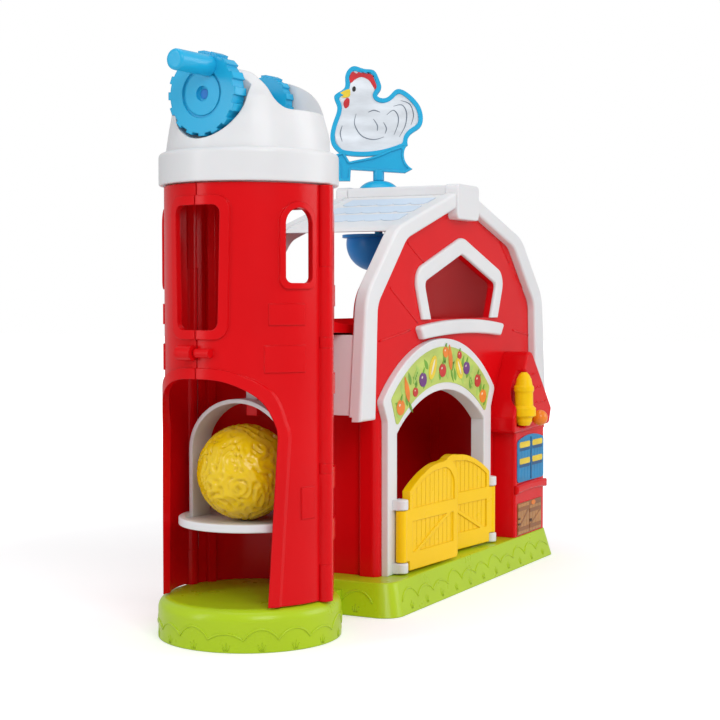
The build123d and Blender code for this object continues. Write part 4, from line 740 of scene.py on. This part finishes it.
def moulded_lines():
    """Thin raised lines on the red front, and shingle edges on the stable's roof."""
    def forward(p):
        return Vector((0, -1, 0))

    bm = bmesh.new()
    for (x0, z0), (x1, z1) in WALL_LINES:
        points = []
        for k in range(WALL_LINE_STEPS + 1):
            points.append(Vector((x0 + (x1 - x0) * k / WALL_LINE_STEPS, WALL_Y,
                                  z0 + (z1 - z0) * k / WALL_LINE_STEPS)))
        add_tube(bm, points, 0.8, 8, LINE_SQUASH, forward)
    for z, x0, x1 in STABLE_LINES:
        points = []
        for k in range(STABLE_LINE_STEPS + 1):
            wave = abs(math.sin(math.pi * k * STABLE_SHINGLES / STABLE_LINE_STEPS))
            points.append(Vector((x0 + (x1 - x0) * k / STABLE_LINE_STEPS, STABLE_ROOF_Y,
                                  z - STABLE_SHINGLE_DROP * wave)))
        add_tube(bm, points, 0.6, 8, LINE_SQUASH, forward)
    piece("moulded_lines", mesh_from(bm, "moulded_lines"), "red", "toy")


def roof_shingles():
    """Pale rows of rounded shingles on the two upper slopes."""
    bm = bmesh.new()
    points = SHINGLE_TILES * SHINGLE_STEPS
    for side in (-1, 1):
        def place(u, v, h, way=side):
            return (BARN_X + way * v, u, ROOF_TOP_Z - ROOF_FALL * v + h)
        for row in range(SHINGLE_ROWS):
            near = SHINGLE_START + row * SHINGLE_PITCH
            far = near + SHINGLE_LENGTH
            outline = [(-SHINGLE_HALF, near), (SHINGLE_HALF, near)]
            for k in range(points + 1):
                u = SHINGLE_HALF - 2 * SHINGLE_HALF * k / points
                bow = abs(math.sin(math.pi * k / SHINGLE_STEPS)) ** 0.6
                outline.append((u, far + SHINGLE_BOW * bow))
            add_slab(bm, outline, place, 0.0, 0.5, 0.2)
    piece("roof_shingles", mesh_from(bm, "roof_shingles"), "shingle", "toy", smooth=False)


# ---------------------------------------------------------------- hoist cord
CORD_STEPS = 60


def hoist_cord():
    """The cord between the drum and the hoop, as one straight strand fixed in place."""
    low, high = box_mm("hoist_cord")
    middle = (low + high) / 2
    radius = (high.x - low.x) / 2
    bm = bmesh.new()
    points = [Vector((middle.x, middle.y, high.z + (low.z - high.z) * k / CORD_STEPS))
              for k in range(CORD_STEPS + 1)]
    add_tube(bm, points, radius, 10, 1.0, lambda p: Vector((1, 0, 0)))
    mesh = mesh_from(bm, "hoist_cord_strand")
    mesh.materials.append(materials["cord"])
    mesh.polygons.foreach_set("use_smooth", [True] * len(mesh.polygons))
    thing = bpy.data.objects.new("hoist_cord_strand", mesh)
    bpy.context.scene.collection.objects.link(thing)
    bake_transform(thing)
    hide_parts("hoist_cord")


# ---------------------------------------------------------------- stable prints
PRINT_PLANKS = 4
SHUTTER_GAP = 0.25
SHUTTER_POST_HALF = 0.7
PANE_HEIGHTS = (14.0, 27.0)
DOOR_GAP = 0.2
DOOR_SHIFT = -1.0
RAIL_HEIGHT = 3.0
BAND_LENGTH = 4.0
BAND_HEIGHT = 1.4
PRINT_EDGE = 0.08


def plank_edges(left, right, gap):
    """Left and right edge of each plank between two sides."""
    pitch = right - left
    return [(left + pitch * i / PRINT_PLANKS + gap, left + pitch * (i + 1) / PRINT_PLANKS - gap)
            for i in range(PRINT_PLANKS)]


def stable_print():
    """Shutters over the stable doors, drawn in flat printed layers."""
    low, high = box_mm("stable_window")
    place = front_place(low.y)
    width = high.x - low.x
    middle = (low.x + high.x) / 2
    layers = {"ink_blue": [], "ink_navy": [], "ink_yellow": []}
    for side in (-1, 1):
        left, right = sorted((middle + side * 1.0, middle + side * (width / 2 - 2.0)))
        for a, b in plank_edges(left, right, SHUTTER_GAP):
            layers["ink_blue"].append((rounded_box(a, low.z + 2.0, b, high.z - 3.5, 0.8, 3), 0.18))
        for pane in PANE_HEIGHTS:
            z = low.z + pane
            layers["ink_navy"].append((rounded_box(left + 1.6, z - 2.6, right - 1.6, z, 0.8, 3), 0.30))
            layers["ink_yellow"].append((rounded_box(left + 1.6, z, right - 1.6, z + 4.6, 1.6, 4), 0.42))
    for key, shapes in layers.items():
        bm = bmesh.new()
        for outline, top in shapes:
            add_slab(bm, outline, place, 0.0, top, 0.1)
        name = "shutter_" + key
        piece(name, mesh_from(bm, name), key, "toy", smooth=False)
    bm = bmesh.new()
    post = rounded_box(middle - SHUTTER_POST_HALF, low.z + 1.0,
                       middle + SHUTTER_POST_HALF, high.z - 2.0, 0.5, 3)
    add_slab(bm, post, place, 0.0, 0.5)
    piece("shutter_post", mesh_from(bm, "shutter_post"), "ink_navy", "toy", smooth=False)


def stable_door_print():
    """Planks, braces and hinge bands of the two printed stable doors, and an orange shape over them."""
    low, high = box_mm("stable_doors")
    place = front_place(low.y)
    middle = (low.x + high.x) / 2 + DOOR_SHIFT
    planks, rails, bands, fruit = bmesh.new(), bmesh.new(), bmesh.new(), bmesh.new()
    for left, right, top in ((low.x + 0.8, middle - 0.8, high.z - 0.8),
                             (middle + 0.8, high.x - 0.8, high.z - 4.0)):
        for a, b in plank_edges(left, right, DOOR_GAP):
            add_slab(planks, rounded_box(a, low.z + 0.6, b, top, 0.5, 3), place, 0.0, 0.2, PRINT_EDGE)
        for z in (low.z + 3.0, top - 5.5):
            add_slab(rails, rounded_box(left, z, right, z + RAIL_HEIGHT, 0.5, 3), place, 0.0, 0.4, PRINT_EDGE)
        brace = [(left, low.z + 6.0), (left + 3.0, low.z + 6.0), (right, top - 5.5), (right - 3.0, top - 5.5)]
        add_slab(rails, brace, place, 0.0, 0.36, PRINT_EDGE)
        for z in (top - 12.0, low.z + 8.0):
            band = rounded_box(left, z, left + BAND_LENGTH, z + BAND_HEIGHT, 0.3, 3)
            add_slab(bands, band, place, 0.0, 0.5)
    add_slab(fruit, ellipse(middle + 9.0, high.z - 2.2, 4.2, 1.9), place, 0.0, 0.3, PRINT_EDGE)
    for name, bm, material in (("stable_door_pumpkin", fruit, "ink_orange"),
                               ("stable_door_planks", planks, "ink_tan"),
                               ("stable_door_rails", rails, "ink_brown"),
                               ("stable_door_hinges", bands, "ink_dark")):
        piece(name, mesh_from(bm, name), material, "toy", smooth=False)


# ---------------------------------------------------------------- stage
FLOOR_DROP = 0.0002
FLOOR_GREY = 0.80
# Distance in metres, and the glow that the camera sees there, near the toy and far from it.
GLOW_NEAR = (0.35, 0.34)
GLOW_FAR = (1.3, 1.0)
SKY_STRENGTH = 0.50
# (name, place, target, width and height, power), in metres and watts
LAMPS = (
    ("key_soft", (-1.35, -1.35, 1.25), (-0.08, 0, 0.18), (0.9, 1.1), 15.5),
    ("fill_right", (0.75, -1.5, 0.75), (0, 0, 0.18), (1.0, 1.0), 8.5),
    ("left_strip", (-1.3, 0.75, 0.6), (-0.2, 0, 0.2), (0.25, 1.2), 4.0),
    ("top_soft", (-0.1, 0.1, 1.6), (-0.05, 0, 0), (1.4, 1.0), 6.0),
)


def floor_paper():
    """White paper that takes the toy's shadow; further away it glows until it's plain white."""
    material = bpy.data.materials.new("floor_paper")
    material.use_nodes = True
    tree = material.node_tree
    tree.nodes.clear()
    out = tree.nodes.new("ShaderNodeOutputMaterial")
    paper = tree.nodes.new("ShaderNodeBsdfDiffuse")
    paper.inputs["Color"].default_value = (FLOOR_GREY, FLOOR_GREY, FLOOR_GREY, 1)
    glow = tree.nodes.new("ShaderNodeEmission")
    path = tree.nodes.new("ShaderNodeLightPath")
    spot = tree.nodes.new("ShaderNodeTexCoord")
    away = tree.nodes.new("ShaderNodeVectorMath")
    away.operation = "LENGTH"
    tree.links.new(spot.outputs["Object"], away.inputs[0])
    sweep = tree.nodes.new("ShaderNodeMapRange")
    sweep.inputs["From Min"].default_value, sweep.inputs["To Min"].default_value = GLOW_NEAR
    sweep.inputs["From Max"].default_value, sweep.inputs["To Max"].default_value = GLOW_FAR
    tree.links.new(away.outputs["Value"], sweep.inputs["Value"])
    gain = tree.nodes.new("ShaderNodeMath")
    gain.operation = "MULTIPLY"
    tree.links.new(sweep.outputs["Result"], gain.inputs[1])
    tree.links.new(path.outputs["Is Camera Ray"], gain.inputs[0])
    tree.links.new(gain.outputs[0], glow.inputs["Strength"])
    both = tree.nodes.new("ShaderNodeAddShader")
    tree.links.new(paper.outputs[0], both.inputs[0])
    tree.links.new(glow.outputs[0], both.inputs[1])
    tree.links.new(both.outputs[0], out.inputs["Surface"])
    return material


def studio_floor():
    """Floor plane a hair under the toy, so that the two don't share a face."""
    bm = bmesh.new()
    bmesh.ops.create_grid(bm, x_segments=1, y_segments=1, size=6.0)
    mesh = mesh_from(bm, "floor")
    mesh.materials.append(floor_paper())
    floor = bpy.data.objects.new("floor", mesh)
    floor.location = (0, 0, -FLOOR_DROP)
    bpy.context.scene.collection.objects.link(floor)


def studio_world():
    """White surround for the camera, with a dimmer, slightly cool light on the toy."""
    world = bpy.data.worlds.new("studio")
    world.use_nodes = True
    bpy.context.scene.world = world
    tree = world.node_tree
    tree.nodes.clear()
    out = tree.nodes.new("ShaderNodeOutputWorld")
    soft = tree.nodes.new("ShaderNodeBackground")
    soft.inputs["Color"].default_value = (0.97, 0.98, 1.0, 1)
    soft.inputs["Strength"].default_value = SKY_STRENGTH
    white = tree.nodes.new("ShaderNodeBackground")
    white.inputs["Strength"].default_value = 1.0
    white.inputs["Color"].default_value = (1, 1, 1, 1)
    path = tree.nodes.new("ShaderNodeLightPath")
    mix = tree.nodes.new("ShaderNodeMixShader")
    tree.links.new(path.outputs["Is Camera Ray"], mix.inputs[0])
    tree.links.new(soft.outputs[0], mix.inputs[1])
    tree.links.new(white.outputs[0], mix.inputs[2])
    tree.links.new(mix.outputs[0], out.inputs["Surface"])


def lamps():
    """Soft area lights, each turned towards its target."""
    for name, place, target, size, power in LAMPS:
        data = bpy.data.lights.new(name, "AREA")
        data.shape = "RECTANGLE"
        data.size, data.size_y = size
        data.energy = power
        thing = bpy.data.objects.new(name, data)
        thing.location = place
        thing.rotation_euler = (Vector(target) - Vector(place)).to_track_quat("-Z", "Y").to_euler()
        bpy.context.scene.collection.objects.link(thing)


def camera():
    """Camera at the photograph's place."""
    yaw = math.radians(PHOTO_YAW)
    pitch = math.radians(PHOTO_PITCH)
    data = bpy.data.cameras.new("photo_camera")
    data.sensor_width = 36.0
    data.sensor_fit = "HORIZONTAL"
    data.lens = PHOTO_FOCAL / PHOTO_SIDE * data.sensor_width
    data.clip_start = 0.05
    data.clip_end = 30.0
    thing = bpy.data.objects.new("photo_camera", data)
    thing.location = Vector(PHOTO_PLACE) * MM
    forward = Vector((math.cos(yaw) * math.cos(pitch), math.sin(yaw) * math.cos(pitch), -math.sin(pitch)))
    thing.rotation_euler = forward.to_track_quat("-Z", "Y").to_euler()
    bpy.context.scene.collection.objects.link(thing)
    bpy.context.scene.camera = thing
    bpy.context.scene.view_settings.view_transform = "Standard"


dress_nodes()
hay_ball()
base_relief()
hen()
label_art()
moulded_lines()
roof_shingles()
hoist_cord()
stable_print()
stable_door_print()
studio_floor()
studio_world()
lamps()
camera()
